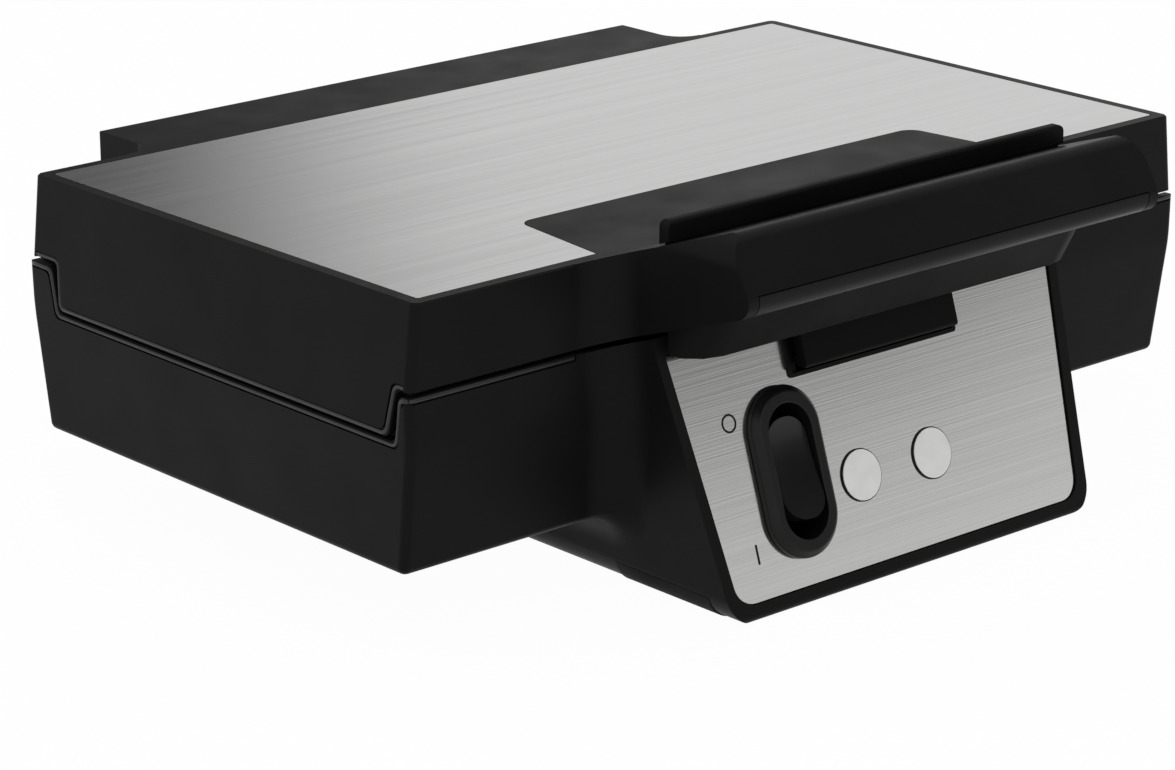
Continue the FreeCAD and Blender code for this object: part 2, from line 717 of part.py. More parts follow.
def latch_clip():
    barrel = rod(BARREL_R, (-BARREL_HALF_W, PIVOT_Y, PIVOT_Z), (BARREL_HALF_W, PIVOT_Y, PIVOT_Z))
    half_t = FIN_T / 2
    fin_low = roof_at(FIN_Y) + FIN_GAP
    fin_top = roof_at(FIN_Y) + FIN_H
    front_low = fin_low + RISE_SLOPE * half_t
    rear_low = fin_low - RISE_SLOPE * half_t
    section = slab_x([(FIN_Y - half_t, front_low, 0), (FIN_Y + half_t, rear_low, 0),
                      (FIN_Y + half_t, fin_top, FIN_R), (FIN_Y - half_t, fin_top, FIN_R)], -FAR, FAR)
    face = slab_y([(-FIN_HALF_W, 0, 0), (FIN_HALF_W, 0, 0), (FIN_HALF_W, fin_top, 2.0 * FIN_R),
                   (-FIN_HALF_W, fin_top, 2.0 * FIN_R)], -FAR, FAR)
    half_c = CLIP_T / 2
    shoulder = PIVOT_Z + BARREL_R
    near, far = FIN_Y - half_c, FIN_Y + half_c
    joined = fin_low + LAP
    neck = slab_x([(PIVOT_Y - half_c, PIVOT_Z, 0), (PIVOT_Y + half_c, PIVOT_Z, 0), (far, shoulder, 0),
                   (far, joined, 0), (near, joined, 0), (near, shoulder, 0)], -NECK_HALF_W, NECK_HALF_W)
    wall_z = Z_TOP - PULL_TOP_DROP
    web_z = wall_z + PULL_HIDDEN
    web_half = PULL_HALF_W - PULL_END_R
    web = slab_x([(PIVOT_Y, PIVOT_Z + half_c, 0), (PULL_Y + half_c, web_z, 0),
                  (PULL_Y + CLIP_T, web_z - CLIP_T, 0), (PIVOT_Y, PIVOT_Z - half_c, 0)], -web_half, web_half)
    seat = box((-SPRING_HALF_W, SPRING_Y - SPRING_HALF_L, web_z),
               (SPRING_HALF_W, SPRING_Y + SPRING_HALF_L, Z_SPRING))
    low_z = wall_z - PULL_H
    low_y = PULL_Y + PULL_LEAN * PULL_H + LAP
    tab_low = Z_TOP - TAB_REACH
    nib = tab_low + NIB_H
    inner = TAB_STAND - TAB_T
    tab = slab_x([(low_y - PULL_LEAN * CLIP_T, low_z + CLIP_T, 0), (low_y, low_z, 0),
                  (panel_y(low_z, TAB_STAND), low_z, 0), (panel_y(tab_low, TAB_STAND), tab_low, TAB_T / 3),
                  (panel_y(tab_low, NIB_GAP), tab_low, 0), (panel_y(nib, NIB_GAP), nib, 0),
                  (panel_y(nib, inner), nib, 0), (panel_y(low_z + CLIP_T, inner), low_z + CLIP_T, 0)],
                 -TAB_HALF_W, TAB_HALF_W)
    skirt = box((-SKIRT_HALF_W, near, shoulder + SKIRT_LIFT), (SKIRT_HALF_W, far, joined))
    clip = fuse([barrel, section.common(face), pull_wall(), neck, skirt, web, seat, tab])
    return clip.cut(rod(PIN_R + RUN_FIT, (-FAR, PIVOT_Y, PIVOT_Z), (FAR, PIVOT_Y, PIVOT_Z)))


def latch_spring():
    """Hairpin leaf between the clip's web and the handle's roof."""
    front = SPRING_Y - SPRING_HALF_L
    back = SPRING_Y + SPRING_HALF_L
    low = Z_SPRING + SPRING_GAP
    top = Z_SPRING + SPRING_LEN
    return slab_x([(back, low, 0), (front, low, 0), (front, low + 2.0 * SPRING_T, 0), (back, top, 0),
                   (back, top - SPRING_T, 0), (front + SPRING_T, low + SPRING_T, 0), (back, low + SPRING_T, 0)],
                  -SPRING_HALF_W, SPRING_HALF_W)


save("latch_clip", latch_clip())
save("latch_pin", rod(PIN_R, (-PIN_HALF_L, PIVOT_Y, PIVOT_Z), (PIN_HALF_L, PIVOT_Y, PIVOT_Z)))
save("latch_spring", latch_spring())


# Ring moulds: cast plates with half-ring cavities, drawn facing up at height 0
def ring_cone(high_r, low_r):
    """Many-sided cone from the mould's face down to a ring cavity's floor."""
    depth = RING_SECTION_R * RING_FLOOR
    rims = []
    for radius, z in ((high_r, 0.0), (low_r, -depth)):
        reach = radius / math.cos(math.pi / RING_FLATS)
        turns = [2.0 * math.pi * step / RING_FLATS for step in range(RING_FLATS + 1)]
        rims.append([V(reach * math.cos(turn), reach * math.sin(turn), z) for turn in turns])
    high, low = rims
    faces = [Part.Face(Part.makePolygon(rim)) for rim in rims]
    for step in range(RING_FLATS):
        flat = [high[step], high[step + 1], low[step + 1], low[step], high[step]]
        faces.append(Part.Face(Part.makePolygon(flat)))
    return Part.Solid(Part.Shell(faces))


def mould_plate():
    low = PLATE_Y - PLATE_HALF_D
    high = PLATE_Y + PLATE_HALF_D
    plate = box((-PLATE_HALF_W, low, -PLATE_WEB), (PLATE_HALF_W, high, 0))
    outer = RING_R + RING_SECTION_R
    inner = RING_R - RING_SECTION_R
    lean = RING_SECTION_R / 2
    humps = [prism(outer + HUMP_WALL, x, y, -HUMP_H, -PLATE_WEB / 2) for x, y in ring_centres()]
    posts = [prism(POST_R, x, y, -HUMP_H - SHIELD_STANDOFF, -PLATE_WEB) for x, y in post_spots()]
    plate = fuse([plate] + humps + posts)
    cavity = ring_cone(outer, outer - lean).cut(ring_cone(inner, inner + lean))
    for x, y in ring_centres():
        plate = plate.cut(cavity.translated(V(x, y, 0)))
    for x, y in post_spots():
        plate = plate.cut(prism(SCREW_R + SCREW_FIT, x, y, -FAR, -PLATE_WEB))
    return plate


def plate_flange():
    """Rim under the lower mould that closes the gap above the tub's side walls."""
    rims = []
    for inset in (0.0, FLANGE_T):
        half_w = PLATE_HALF_W - inset
        half_d = PLATE_HALF_D - inset
        rims.append(box((-half_w, PLATE_Y - half_d, -PLATE_WEB - FLANGE_H),
                        (half_w, PLATE_Y + half_d, -PLATE_WEB / 2)))
    return rims[0].cut(rims[1])


def element():
    """Flat-sided tube that winds between the ring humps, with a cold pin in each end."""
    z = -PLATE_WEB - ELEMENT_R
    lane = RING_PITCH_X / 2
    cut = ELEMENT_BEND_R
    half = [(ELEMENT_OUTER, ELEMENT_END), (ELEMENT_OUTER, cut - ELEMENT_LANE),
            (ELEMENT_OUTER - cut, -ELEMENT_LANE), (lane + cut, -ELEMENT_LANE), (lane, cut - ELEMENT_LANE),
            (lane, ELEMENT_LANE - cut), (lane - cut, ELEMENT_LANE)]
    route = half + [(-x, y) for x, y in reversed(half)]
    points = [V(x, PLATE_Y + y, z) for x, y in route]
    turns = [2.0 * math.pi * step / ELEMENT_FLATS for step in range(ELEMENT_FLATS + 1)]
    ring = [points[0] + V(ELEMENT_R * math.cos(turn), 0, ELEMENT_R * math.sin(turn)) for turn in turns]
    tube = Part.makePolygon(points).makePipeShell([Part.makePolygon(ring)], True, False, 1)
    pieces = [tube]
    for end in (points[0], points[-1]):
        pieces.append(box((end.x - COLD_PIN_R, end.y - LAP, z - COLD_PIN_R),
                          (end.x + COLD_PIN_R, end.y + COLD_PIN_L, z + COLD_PIN_R)))
    return fuse(pieces)


def heat_shield():
    """Sheet tray behind a mould, resting on the mould's posts."""
    z = -HUMP_H - SHIELD_STANDOFF
    half_w = PLATE_HALF_W - SHIELD_MARGIN
    half_d = PLATE_HALF_D - SHIELD_MARGIN
    tray = box((-half_w, PLATE_Y - half_d, z - SHEET), (half_w, PLATE_Y + half_d, z + SHIELD_LIP))
    half_w -= SHEET
    half_d -= SHEET
    tray = tray.cut(box((-half_w, PLATE_Y - half_d, z), (half_w, PLATE_Y + half_d, FAR)))
    for x, y in post_spots():
        tray = tray.cut(prism(SCREW_R + SCREW_PASS, x, y, -FAR, FAR))
    return tray


def face_down(shape):
    """Turn a piece drawn facing up over to hang from the lid."""
    return shape.mirror(V(), V(0, 0, 1)).translated(V(0, 0, Z_UPPER))


def face_up(shape):
    return shape.translated(V(0, 0, Z_LOWER))


def screw(x, y, seat, tip):
    """Cap screw from its head's seat to its tip, pointing up or down."""
    way = 1.0 if tip > seat else -1.0
    head = prism(SCREW_HEAD_R, x, y, seat, seat - way * SCREW_HEAD_H)
    return fuse([head, prism(SCREW_R, x, y, seat - way * LAP, tip)])


save("upper_mould_plate", face_down(mould_plate()))
save("upper_heating_element", face_down(element()))
save("upper_heat_shield", face_down(heat_shield()))
UPPER_TIP = Z_SHIELD_UP - SCREW_GRIP
save("upper_plate_screws", Part.makeCompound([screw(x, y, UPPER_SEAT, UPPER_TIP) for x, y in post_spots()]))
save("lower_mould_plate", face_up(fuse([mould_plate(), plate_flange()])))
save("lower_heating_element", face_up(element()))
save("lower_heat_shield", face_up(heat_shield()))
Z_SHIELD_LOW = Z_LOWER - HUMP_H - SHIELD_STANDOFF
LOWER_SEAT = Z_SHIELD_LOW - SHEET - SCREW_FLOOR
LOWER_TIP = Z_SHIELD_LOW + SCREW_GRIP
save("lower_plate_screws", Part.makeCompound([screw(x, y, LOWER_SEAT, LOWER_TIP) for x, y in post_spots()]))


# Base shell: tub, control housing, pedestal, hinge ears and rear block in one moulding
EAR_INNER = BLOCK_HALF_W + EAR_GAP
EAR_OUTER = EAR_INNER + EAR_W
TROUGH_Z = HINGE_Z - EAR_R - TROUGH_GAP
COVER_FRONT = panel_y(Z_FOOT, 0.0) + COVER_FRONT_BACK
COVER_REAR = BASE_BACK - COVER_MARGIN
PAD_FRONT = panel_y(Z_FOOT, 0.0) + PAD_FRONT_BACK
PAD_REAR = BASE_BACK - PAD_REAR_BACK - PAD_L
GLAND_Z = TROUGH_Z - GLAND_DROP


def cover_outline(half_w, margin, low, high):
    return box((-half_w, COVER_FRONT + margin, low), (half_w, COVER_REAR - margin, high))


def cover_screw_spots():
    x = COVER_HALF_W - COVER_LEDGE - GUSSET / 2
    rear = COVER_REAR - COVER_LEDGE - GUSSET / 2
    front = COVER_FRONT + COVER_LEDGE + GUSSET / 2
    return [(-x, front), (x, front), (-x, rear), (x, rear)]


def pad_place(start, fit):
    """Pocket for a rubber pad in the pedestal's lower edge, on the right-hand side."""
    inner = FOOT_HALF_W - PAD_W - fit
    return box((inner, start - fit, -FAR), (FAR, start + PAD_L + fit, Z_FOOT + PAD_H + fit))


def pad(start, fit, bottom):
    return pad_place(start, fit).common(foot_form(0.0, bottom))


def hinge_ear():
    low = TROUGH_Z - EAR_ROOT
    root = REAR - WALL / 2
    shelf = Z_BASE - PARTING_GAP
    corners = [(root, shelf, 0), (HINGE_Y - EAR_R, shelf, 0),
               (HINGE_Y - EAR_R, HINGE_Z + EAR_R, EAR_R - SLIVER), (BACK, HINGE_Z + EAR_R, EAR_R - SLIVER),
               (BACK, low, 0), (root, low, 0)]
    return slab_x(corners, EAR_INNER, EAR_OUTER)


def rear_block():
    half_low = foot_half(Z_FLOOR) + ROOT_R + REAR_BLOCK_EDGE
    section = [(-EAR_OUTER, TROUGH_Z, 0), (EAR_OUTER, TROUGH_Z, 0), (half_low, Z_FLOOR, EAR_R),
               (-half_low, Z_FLOOR, EAR_R)]
    start = REAR - BASE_END_TAPER - 2.0 * BASE_EDGE_R
    return slab_y(section, start, BASE_BACK)


def junction_edges(shape):
    """Inner corners where the housing's flanks and the pedestal's sides meet the tub."""
    found = []
    for edge in shape.Edges:
        middle = edge.valueAt((edge.FirstParameter + edge.LastParameter) / 2)
        size = edge.BoundBox
        on_flank = abs(abs(middle.x) - foot_half(middle.z)) < SLIVER
        short = size.YLength < ROOT_R / 2 and size.XLength > SLIVER
        in_front = short and FRONT - LAP < middle.y < FRONT + ROOT_R
        under = abs(middle.z - Z_FLOOR) < SLIVER and size.YLength > LID_DEPTH / 2
        if on_flank and (in_front or under):
            found.append(edge)
    return found


def base_outer():
    body = fuse([base_form(0.0, Z_TOP), rear_block(), foot_form(0.0, Z_FOOT)])
    body = body.makeFillet(ROOT_R, junction_edges(body))
    end = 2.0 * LAP
    over = above_parting(-PARTING_GAP).common(box((-FAR, FRONT - end, 0), (FAR, REAR + end, FAR)))
    return body.cut(over)


def base_shell():
    outer = fuse([base_outer(), both_sides(hinge_ear())])
    end = BASE_PROUD + SLIVER
    strip = parting_strip(-PARTING_GAP - REBATE_H, base_form(-REBATE, Z_TOP), FRONT - end, REAR + end)
    root_half = HANDLE_HALF_W + ROOT_R
    strip = strip.cut(box((-root_half, NOSE, 0), (root_half, PLATE_Y, FAR)))
    strip = strip.cut(box((-EAR_OUTER - LAP, PLATE_Y, 0), (EAR_OUTER + LAP, BACK, FAR)))
    body = outer.cut(strip).cut(base_form(-WALL, Z_TOP))
    under = box((-FAR, NOSE, 0), (FAR, BACK, Z_BASE - HOUSING_ROOF))
    body = body.cut(foot_form(-WALL, Z_FOOT + WALL).common(under))
    half = BLOCK_HALF_W - 2.0 * WALL
    body = body.cut(box((-half, REAR - 3.0 * WALL, Z_FLOOR + WALL), (half, BASE_BACK - WALL, TROUGH_Z - WALL)))
    added = [prism(POST_R + WALL / 2, x, y, Z_FLOOR + LAP, Z_SHIELD_LOW - SHEET) for x, y in post_spots()]
    for start in (PAD_FRONT, PAD_REAR):
        added.append(both_sides(pad(start, WALL, Z_FOOT)))
    top = Z_FOOT + GUSSET_T
    for x, y in cover_screw_spots():
        added.append(box((x - GUSSET, y - GUSSET, Z_FOOT), (x + GUSSET, y + GUSSET, top)))
    body = fuse([body] + added)
    opening = cover_outline(COVER_HALF_W - COVER_LEDGE, COVER_LEDGE, 0, top + LAP)
    for x, y in cover_screw_spots():
        opening = opening.cut(box((x - GUSSET / 2, y - GUSSET / 2, 0), (x + GUSSET / 2, y + GUSSET / 2, FAR)))
    body = body.cut(opening)
    body = body.cut(cover_outline(COVER_HALF_W, 0.0, 0, Z_FOOT + COVER_T))
    for start in (PAD_FRONT, PAD_REAR):
        body = body.cut(both_sides(pad_place(start, PAD_FIT)))
    for x, y in cover_screw_spots():
        body = body.cut(prism(SMALL_SCREW_R + SCREW_FIT, x, y, 0, top - WALL / 2))
    for x, y in post_spots():
        body = body.cut(prism(SCREW_R + SCREW_PASS, x, y, 0, FAR))
        body = body.cut(prism(SCREW_HEAD_R + HEAD_FIT, x, y, 0, LOWER_SEAT))
    body = body.cut(panel_recess())
    body = body.cut(rod(HINGE_R, (-FAR, HINGE_Y, HINGE_Z), (FAR, HINGE_Y, HINGE_Z)))
    inner = BASE_BACK - 2.0 * WALL
    return body.cut(rod(GLAND_SLEEVE_R + GLAND_FIT, (GLAND_X, inner, GLAND_Z), (GLAND_X, BACK, GLAND_Z)))


# Control panel and what passes through it
def panel_outline(fit, low, high):
    half_low = PANEL_W_LOW / 2 + fit
    half_high = PANEL_W_HIGH / 2 + fit
    top = PANEL_H + fit
    notch_low = PANEL_H - NOTCH_H
    return slab_z([(-half_low, -fit, PANEL_R), (half_low, -fit, PANEL_R), (half_high, top, 0),
                   (NOTCH_HALF_W, top, 0), (NOTCH_HALF_W, notch_low, NOTCH_R),
                   (-NOTCH_HALF_W, notch_low, NOTCH_R), (-NOTCH_HALF_W, top, 0), (-half_high, top, 0)],
                  low, high)


def panel_recess():
    """Everything cut from the housing's front: sheet seat, notch, switch and lamp holes."""
    through = SHEET + 3.0 * WALL
    proud = PANEL_FRAME + HOUSING_ROOF
    cuts = [panel_outline(SHEET_FIT, -SHEET, proud)]
    notch_low = PANEL_H - NOTCH_H + NOTCH_STEP
    half = NOTCH_HALF_W - NOTCH_STEP
    cuts.append(box((-half, notch_low, -SHEET), (half, PANEL_H + NOTCH_H, proud)))
    slot_half = TAB_HALF_W - NOTCH_STEP
    cuts.append(box((-slot_half, notch_low, -through), (slot_half, notch_low + NIB_SLOT, 0)))
    cuts.append(sleeve_form(0.0, -through, PANEL_FRAME))
    for u in (-LAMP_U, LAMP_U):
        cuts.append(prism(LAMP_TUBE_R + LAMP_FIT, u, LAMP_V, -through, PANEL_FRAME))
    return on_panel(fuse(cuts))


def control_panel():
    sheet = panel_outline(0.0, -SHEET, 0.0)
    sheet = sheet.cut(sleeve_form(0.0, -FAR, FAR))
    for u in (-LAMP_U, LAMP_U):
        sheet = sheet.cut(rod(LAMP_R + LAMP_FIT, (u, LAMP_V, -FAR), (u, LAMP_V, FAR)))
    return on_panel(sheet)


def switch_bezel():
    flange = stadium(BEZEL_L, BEZEL_W, 0.0, BEZEL_H)
    flange = flange.makeChamfer(BEZEL_H / 2, level_edges(flange, BEZEL_H))
    sleeve = sleeve_form(SHEET_FIT, -SWITCH_DEPTH, LAP)
    bezel = fuse([flange, sleeve]).cut(stadium(SWITCH_OPEN_L, SWITCH_OPEN_W, -FAR, FAR))
    axle_hole = rod(AXLE_R + RUN_FIT, (-FAR, SWITCH_V, ROCKER_PIVOT), (FAR, SWITCH_V, ROCKER_PIVOT))
    return on_panel(bezel.cut(axle_hole))


def switch_rocker():
    """Dished paddle on an axle, with its upper end pressed in."""
    half_l = SWITCH_OPEN_L / 2 - ROCKER_END_GAP
    half_w = SWITCH_OPEN_W / 2 - ROCKER_FIT
    low = ROCKER_RISE - ROCKER_T
    top = Part.Arc(V(0, -half_l, ROCKER_RISE), V(0, 0, ROCKER_RISE - ROCKER_DISH), V(0, half_l, ROCKER_RISE))
    belly = Part.Arc(V(0, half_l, low), V(0, 0, -ROCKER_T), V(0, -half_l, low))
    ends = [Part.LineSegment(V(0, half_l, ROCKER_RISE), V(0, half_l, low)),
            Part.LineSegment(V(0, -half_l, low), V(0, -half_l, ROCKER_RISE))]
    face = Part.Face(Part.Wire([top.toShape(), ends[0].toShape(), belly.toShape(), ends[1].toShape()]))
    body = face.translated(V(-half_w, 0, 0)).extrude(V(2.0 * half_w, 0, 0))
    bend = half_w - ROCKER_FIT
    body = body.common(slab_z([(-half_w, -half_l, bend), (half_w, -half_l, bend),
                               (half_w, half_l, bend), (-half_w, half_l, bend)], -FAR, FAR))
    reach = SWITCH_OPEN_W / 2 + AXLE_R - SHEET_FIT
    body = fuse([body, rod(AXLE_R, (-reach, 0, 0), (reach, 0, 0))])
    body.rotate(V(), V(1, 0, 0), -ROCKER_TILT)
    return on_panel(body.translated(V(SWITCH_U, SWITCH_V, ROCKER_PIVOT)))


def switch_body():
    low = -SWITCH_DEPTH - SWITCH_BODY_H
    pieces = [sleeve_form(SHEET_FIT, low, -SWITCH_DEPTH)]
    half = BLADE_W / 2
    for step in (-1, 0, 1):
        v = SWITCH_V + step * BLADE_PITCH
        pieces.append(box((SWITCH_U - half, v - SHEET / 2, low - BLADE_L),
                          (SWITCH_U + half, v + SHEET / 2, low + LAP)))
    return on_panel(fuse(pieces))


def lamp_lens(u):
    disc = rod(LAMP_R, (u, LAMP_V, -SHEET), (u, LAMP_V, PANEL_FRAME))
    tube = prism(LAMP_TUBE_R, u, LAMP_V, -LAMP_TUBE_L, -SHEET / 2)
    return on_panel(fuse([disc, tube]).cut(prism(BULB_R + LAMP_FIT, u, LAMP_V, -FAR, -2.0 * SHEET)))


def lamp_bulb(u):
    back = -LAMP_TUBE_L
    glass = prism(BULB_R, u, LAMP_V, back, back + BULB_L)
    leads = [box((u + side - SHEET / 2, LAMP_V - SHEET / 2, back - BULB_LEAD),
                 (u + side + SHEET / 2, LAMP_V + SHEET / 2, back + LAP)) for side in (-BULB_R / 2, BULB_R / 2)]
    return on_panel(fuse([glass] + leads))


save("base_shell", base_shell())
save("control_panel", control_panel())
save("switch_bezel", switch_bezel())
save("switch_rocker", switch_rocker())
save("switch_body", switch_body())
save("power_lamp_lens", lamp_lens(-LAMP_U))
save("ready_lamp_lens", lamp_lens(LAMP_U))
save("power_lamp_bulb", lamp_bulb(-LAMP_U))
save("ready_lamp_bulb", lamp_bulb(LAMP_U))

# Hinge pins, fixed in the ears and turning in the lid's block
PIN_INNER = BLOCK_HALF_W - HINGE_REACH + LAP
hinge_pin = rod(HINGE_R, (PIN_INNER, HINGE_Y, HINGE_Z), (EAR_OUTER, HINGE_Y, HINGE_Z))
save("hinge_pin_right", hinge_pin)
save("hinge_pin_left", mirrored(hinge_pin))


# Feet, bottom cover and cord gland
for place, start in (("front", PAD_FRONT), ("rear", PAD_REAR)):
    rubber = pad(start, 0.0, 0.0)
    save(place + "_foot_right", rubber)
    save(place + "_foot_left", mirrored(rubber))


def bottom_cover():
    cover = cover_outline(COVER_HALF_W - COVER_FIT, COVER_FIT, Z_FOOT, Z_FOOT + COVER_T)
    middle = (COVER_FRONT + COVER_REAR) / 2
    for step in range(VENT_COUNT):
        y = middle + (step - (VENT_COUNT - 1) / 2) * VENT_PITCH
        cover = cover.cut(box((-VENT_L / 2, y - VENT_W / 2, 0), (VENT_L / 2, y + VENT_W / 2, FAR)))
    for x, y in cover_screw_spots():
        cover = cover.cut(prism(SMALL_SCREW_R + SCREW_PASS, x, y, 0, FAR))
        cover = cover.cut(prism(SMALL_HEAD_R + SCREW_PASS, x, y, 0, Z_FOOT + COVER_T / 2))
    return cover


def cover_screw(x, y):
    head = prism(SMALL_HEAD_R, x, y, Z_FOOT, Z_FOOT + COVER_T / 2)
    return fuse([head, prism(SMALL_SCREW_R, x, y, Z_FOOT + LAP, Z_FOOT + GUSSET_T - WALL)])


def cord_gland():
    sleeve = rod(GLAND_SLEEVE_R, (GLAND_X, BACK - GLAND_L, GLAND_Z), (GLAND_X, BASE_BACK, GLAND_Z))
    flange = rod(GLAND_FLANGE_R, (GLAND_X, BASE_BACK, GLAND_Z), (GLAND_X, BACK, GLAND_Z))
    bore = rod(GLAND_BORE_R, (GLAND_X, 0, GLAND_Z), (GLAND_X, FAR, GLAND_Z))
    return fuse([sleeve, flange]).cut(bore)


save("bottom_cover", bottom_cover())
save("cover_screws", Part.makeCompound([cover_screw(x, y) for x, y in cover_screw_spots()]))
save("cord_gland", cord_gland())


# Wiring pieces inside the base
def terminal_block():
    x = RING_PITCH_X + POST_R + TERMINAL_GAP
    y = PLATE_Y - TERMINAL_L / 2
    z = Z_FLOOR + WALL
    top = z + TERMINAL_H
    block = box((x, y, z), (x + TERMINAL_W, y + TERMINAL_L, top))
    pitch = TERMINAL_L / TERMINAL_WAYS
    half = TERMINAL_WAY_W / 2
    for way in range(TERMINAL_WAYS):
        way_y = y + (way + 0.5) * pitch
        roof = z + 2.0 * WALL
        block = block.cut(box((x - LAP, way_y - half, z + WALL), (x + TERMINAL_W + LAP, way_y + half, roof)))
        block = block.cut(box((x + WALL, way_y - half, roof - LAP), (x + 2.0 * WALL + half, way_y + half, FAR)))
    return block


def thermostat():
    """Stack of insulators and contact leaves on a foot against the mould's back."""
    y = PLATE_Y + ELEMENT_LANE
    z = Z_LOWER - PLATE_WEB
    start = RING_PITCH_X - STAT_L / 2
    end = RING_PITCH_X + STAT_L / 2
    half_w = STAT_W / 2
    pieces = [box((start, y - half_w, z - STAT_FOOT_T), (end, y + half_w, z)),
              box((start, y - half_w, z - STAT_H), (start + STAT_STACK_L, y + half_w, z - STAT_FOOT_T))]
    for leaf in range(STAT_LEAVES):
        top = z - STAT_FOOT_T - (leaf + 1) * STAT_LEAF_PITCH
        pieces.append(box((start + STAT_STACK_L / 2, y - half_w / 2, top - STAT_LEAF_T),
                          (end, y + half_w / 2, top)))
    return fuse(pieces)


def thermal_fuse():
    """Fuse cartridge in a sheet clip against the mould's back."""
    y = PLATE_Y + ELEMENT_LANE
    top = Z_LOWER - PLATE_WEB
    z = top - FUSE_CLIP_T - FUSE_R
    body = rod(FUSE_R, (-RING_PITCH_X - FUSE_L / 2, y, z), (-RING_PITCH_X + FUSE_L / 2, y, z))
    lead = box((-RING_PITCH_X - FUSE_L, y - FUSE_CLIP_T / 2, z - FUSE_CLIP_T / 2),
               (-RING_PITCH_X + FUSE_L, y + FUSE_CLIP_T / 2, z + FUSE_CLIP_T / 2))
    reach = FUSE_R + FUSE_CLIP_T
    clip = box((-RING_PITCH_X - 2.0 * FUSE_R, y - reach, z - reach),
               (-RING_PITCH_X + 2.0 * FUSE_R, y + reach, top))
    return fuse([body, clip, lead])


save("terminal_block", terminal_block())
save("thermostat", thermostat())
save("thermal_fuse", thermal_fuse())
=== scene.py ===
import bmesh
import bpy
import math
from mathutils import Matrix, Vector


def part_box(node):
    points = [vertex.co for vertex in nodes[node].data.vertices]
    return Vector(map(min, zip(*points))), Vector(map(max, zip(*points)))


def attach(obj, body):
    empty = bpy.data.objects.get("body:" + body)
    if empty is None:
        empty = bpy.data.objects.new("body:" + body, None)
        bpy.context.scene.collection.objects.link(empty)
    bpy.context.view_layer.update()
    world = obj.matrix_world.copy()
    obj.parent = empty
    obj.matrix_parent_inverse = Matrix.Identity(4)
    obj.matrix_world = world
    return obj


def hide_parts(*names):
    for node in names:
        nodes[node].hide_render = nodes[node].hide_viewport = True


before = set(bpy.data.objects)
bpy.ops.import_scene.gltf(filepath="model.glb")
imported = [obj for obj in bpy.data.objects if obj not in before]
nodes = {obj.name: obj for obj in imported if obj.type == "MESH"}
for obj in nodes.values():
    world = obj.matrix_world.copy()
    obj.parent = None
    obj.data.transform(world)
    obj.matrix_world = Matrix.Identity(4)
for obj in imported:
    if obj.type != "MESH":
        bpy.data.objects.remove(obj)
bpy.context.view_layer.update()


# Base shell: one deep moulding in black polypropylene, tub, control housing and pedestal together.
# It comes off the mould with a fine spark-eroded grain and slightly rounded corners.
# A flat cover of the same plastic is screwed under it.
def moulding_shade():
    """Tree that joins a moulding's facets and keeps only its true corners crisp."""
    tree = bpy.data.node_groups.new("moulding_shade", "GeometryNodeTree")
    tree.interface.new_socket("Geometry", in_out="INPUT", socket_type="NodeSocketGeometry")
    crisp = tree.interface.new_socket("Crisp Angle", in_out="INPUT", socket_type="NodeSocketFloat")
    crisp.default_value = math.radians(32)
    tree.interface.new_socket("Geometry", in_out="OUTPUT", socket_type="NodeSocketGeometry")
    start = tree.nodes.new("NodeGroupInput")
    end = tree.nodes.new("NodeGroupOutput")
    weld_gap = 0.000004
    weld = tree.nodes.new("GeometryNodeMergeByDistance")
    weld.inputs["Distance"].default_value = weld_gap
    angle = tree.nodes.new("GeometryNodeInputMeshEdgeAngle")
    sharper = tree.nodes.new("FunctionNodeCompare")
    sharper.operation = "GREATER_THAN"
    normal = tree.nodes.new("GeometryNodeSetMeshNormal")
    normal.mode = "SHARPNESS"
    normal.inputs["Remove Custom"].default_value = True
    link = tree.links.new
    link(start.outputs["Geometry"], weld.inputs["Geometry"])
    link(angle.outputs["Unsigned Angle"], sharper.inputs["A"])
    link(start.outputs["Crisp Angle"], sharper.inputs["B"])
    link(weld.outputs["Geometry"], normal.inputs["Mesh"])
    link(sharper.outputs["Result"], normal.inputs["Edge Sharpness"])
    link(normal.outputs["Mesh"], end.inputs["Geometry"])
    return tree


shade_tree = moulding_shade()


def dress(node, material, softened=0.0):
    """Give a carried node its finish, softened edges and the smooth shading of a real moulding."""
    piece = nodes[node]
    piece.data.materials.clear()
    piece.data.materials.append(material)
    piece.modifiers.new("shade", "NODES").node_group = shade_tree
    if softened:
        edge = piece.modifiers.new("edge", "BEVEL")
        edge.width = softened
        edge.segments = 2
        edge.limit_method = "ANGLE"
        edge.angle_limit = math.radians(40)
    weighted = piece.modifiers.new("weighted", "WEIGHTED_NORMAL")
    weighted.keep_sharp = True
    weighted.weight = 80


def new_finish(name):
    """Empty material with its shader and the object's own coordinates."""
    finish = bpy.data.materials.new(name)
    finish.use_nodes = True
    shader = finish.node_tree.nodes["Principled BSDF"]
    where = finish.node_tree.nodes.new("ShaderNodeTexCoord")
    return finish, finish.node_tree, shader, where.outputs["Object"]


def noise(tree, where, scale, detail, stretch=(1, 1, 1)):
    """Noise on the object's coordinates, stretched along the axes."""
    mapping = tree.nodes.new("ShaderNodeMapping")
    mapping.inputs["Scale"].default_value = stretch
    tree.links.new(where, mapping.inputs["Vector"])
    texture = tree.nodes.new("ShaderNodeTexNoise")
    texture.inputs["Scale"].default_value = scale
    texture.inputs["Detail"].default_value = detail
    tree.links.new(mapping.outputs["Vector"], texture.inputs["Vector"])
    return texture.outputs["Fac"]


def spread(tree, value, low, high):
    """Map a noise value onto a range of numbers."""
    noise_low, noise_high = 0.3, 0.7
    span = tree.nodes.new("ShaderNodeMapRange")
    span.inputs["From Min"].default_value = noise_low
    span.inputs["From Max"].default_value = noise_high
    span.inputs["To Min"].default_value = low
    span.inputs["To Max"].default_value = high
    tree.links.new(value, span.inputs["Value"])
    return span.outputs["Result"]


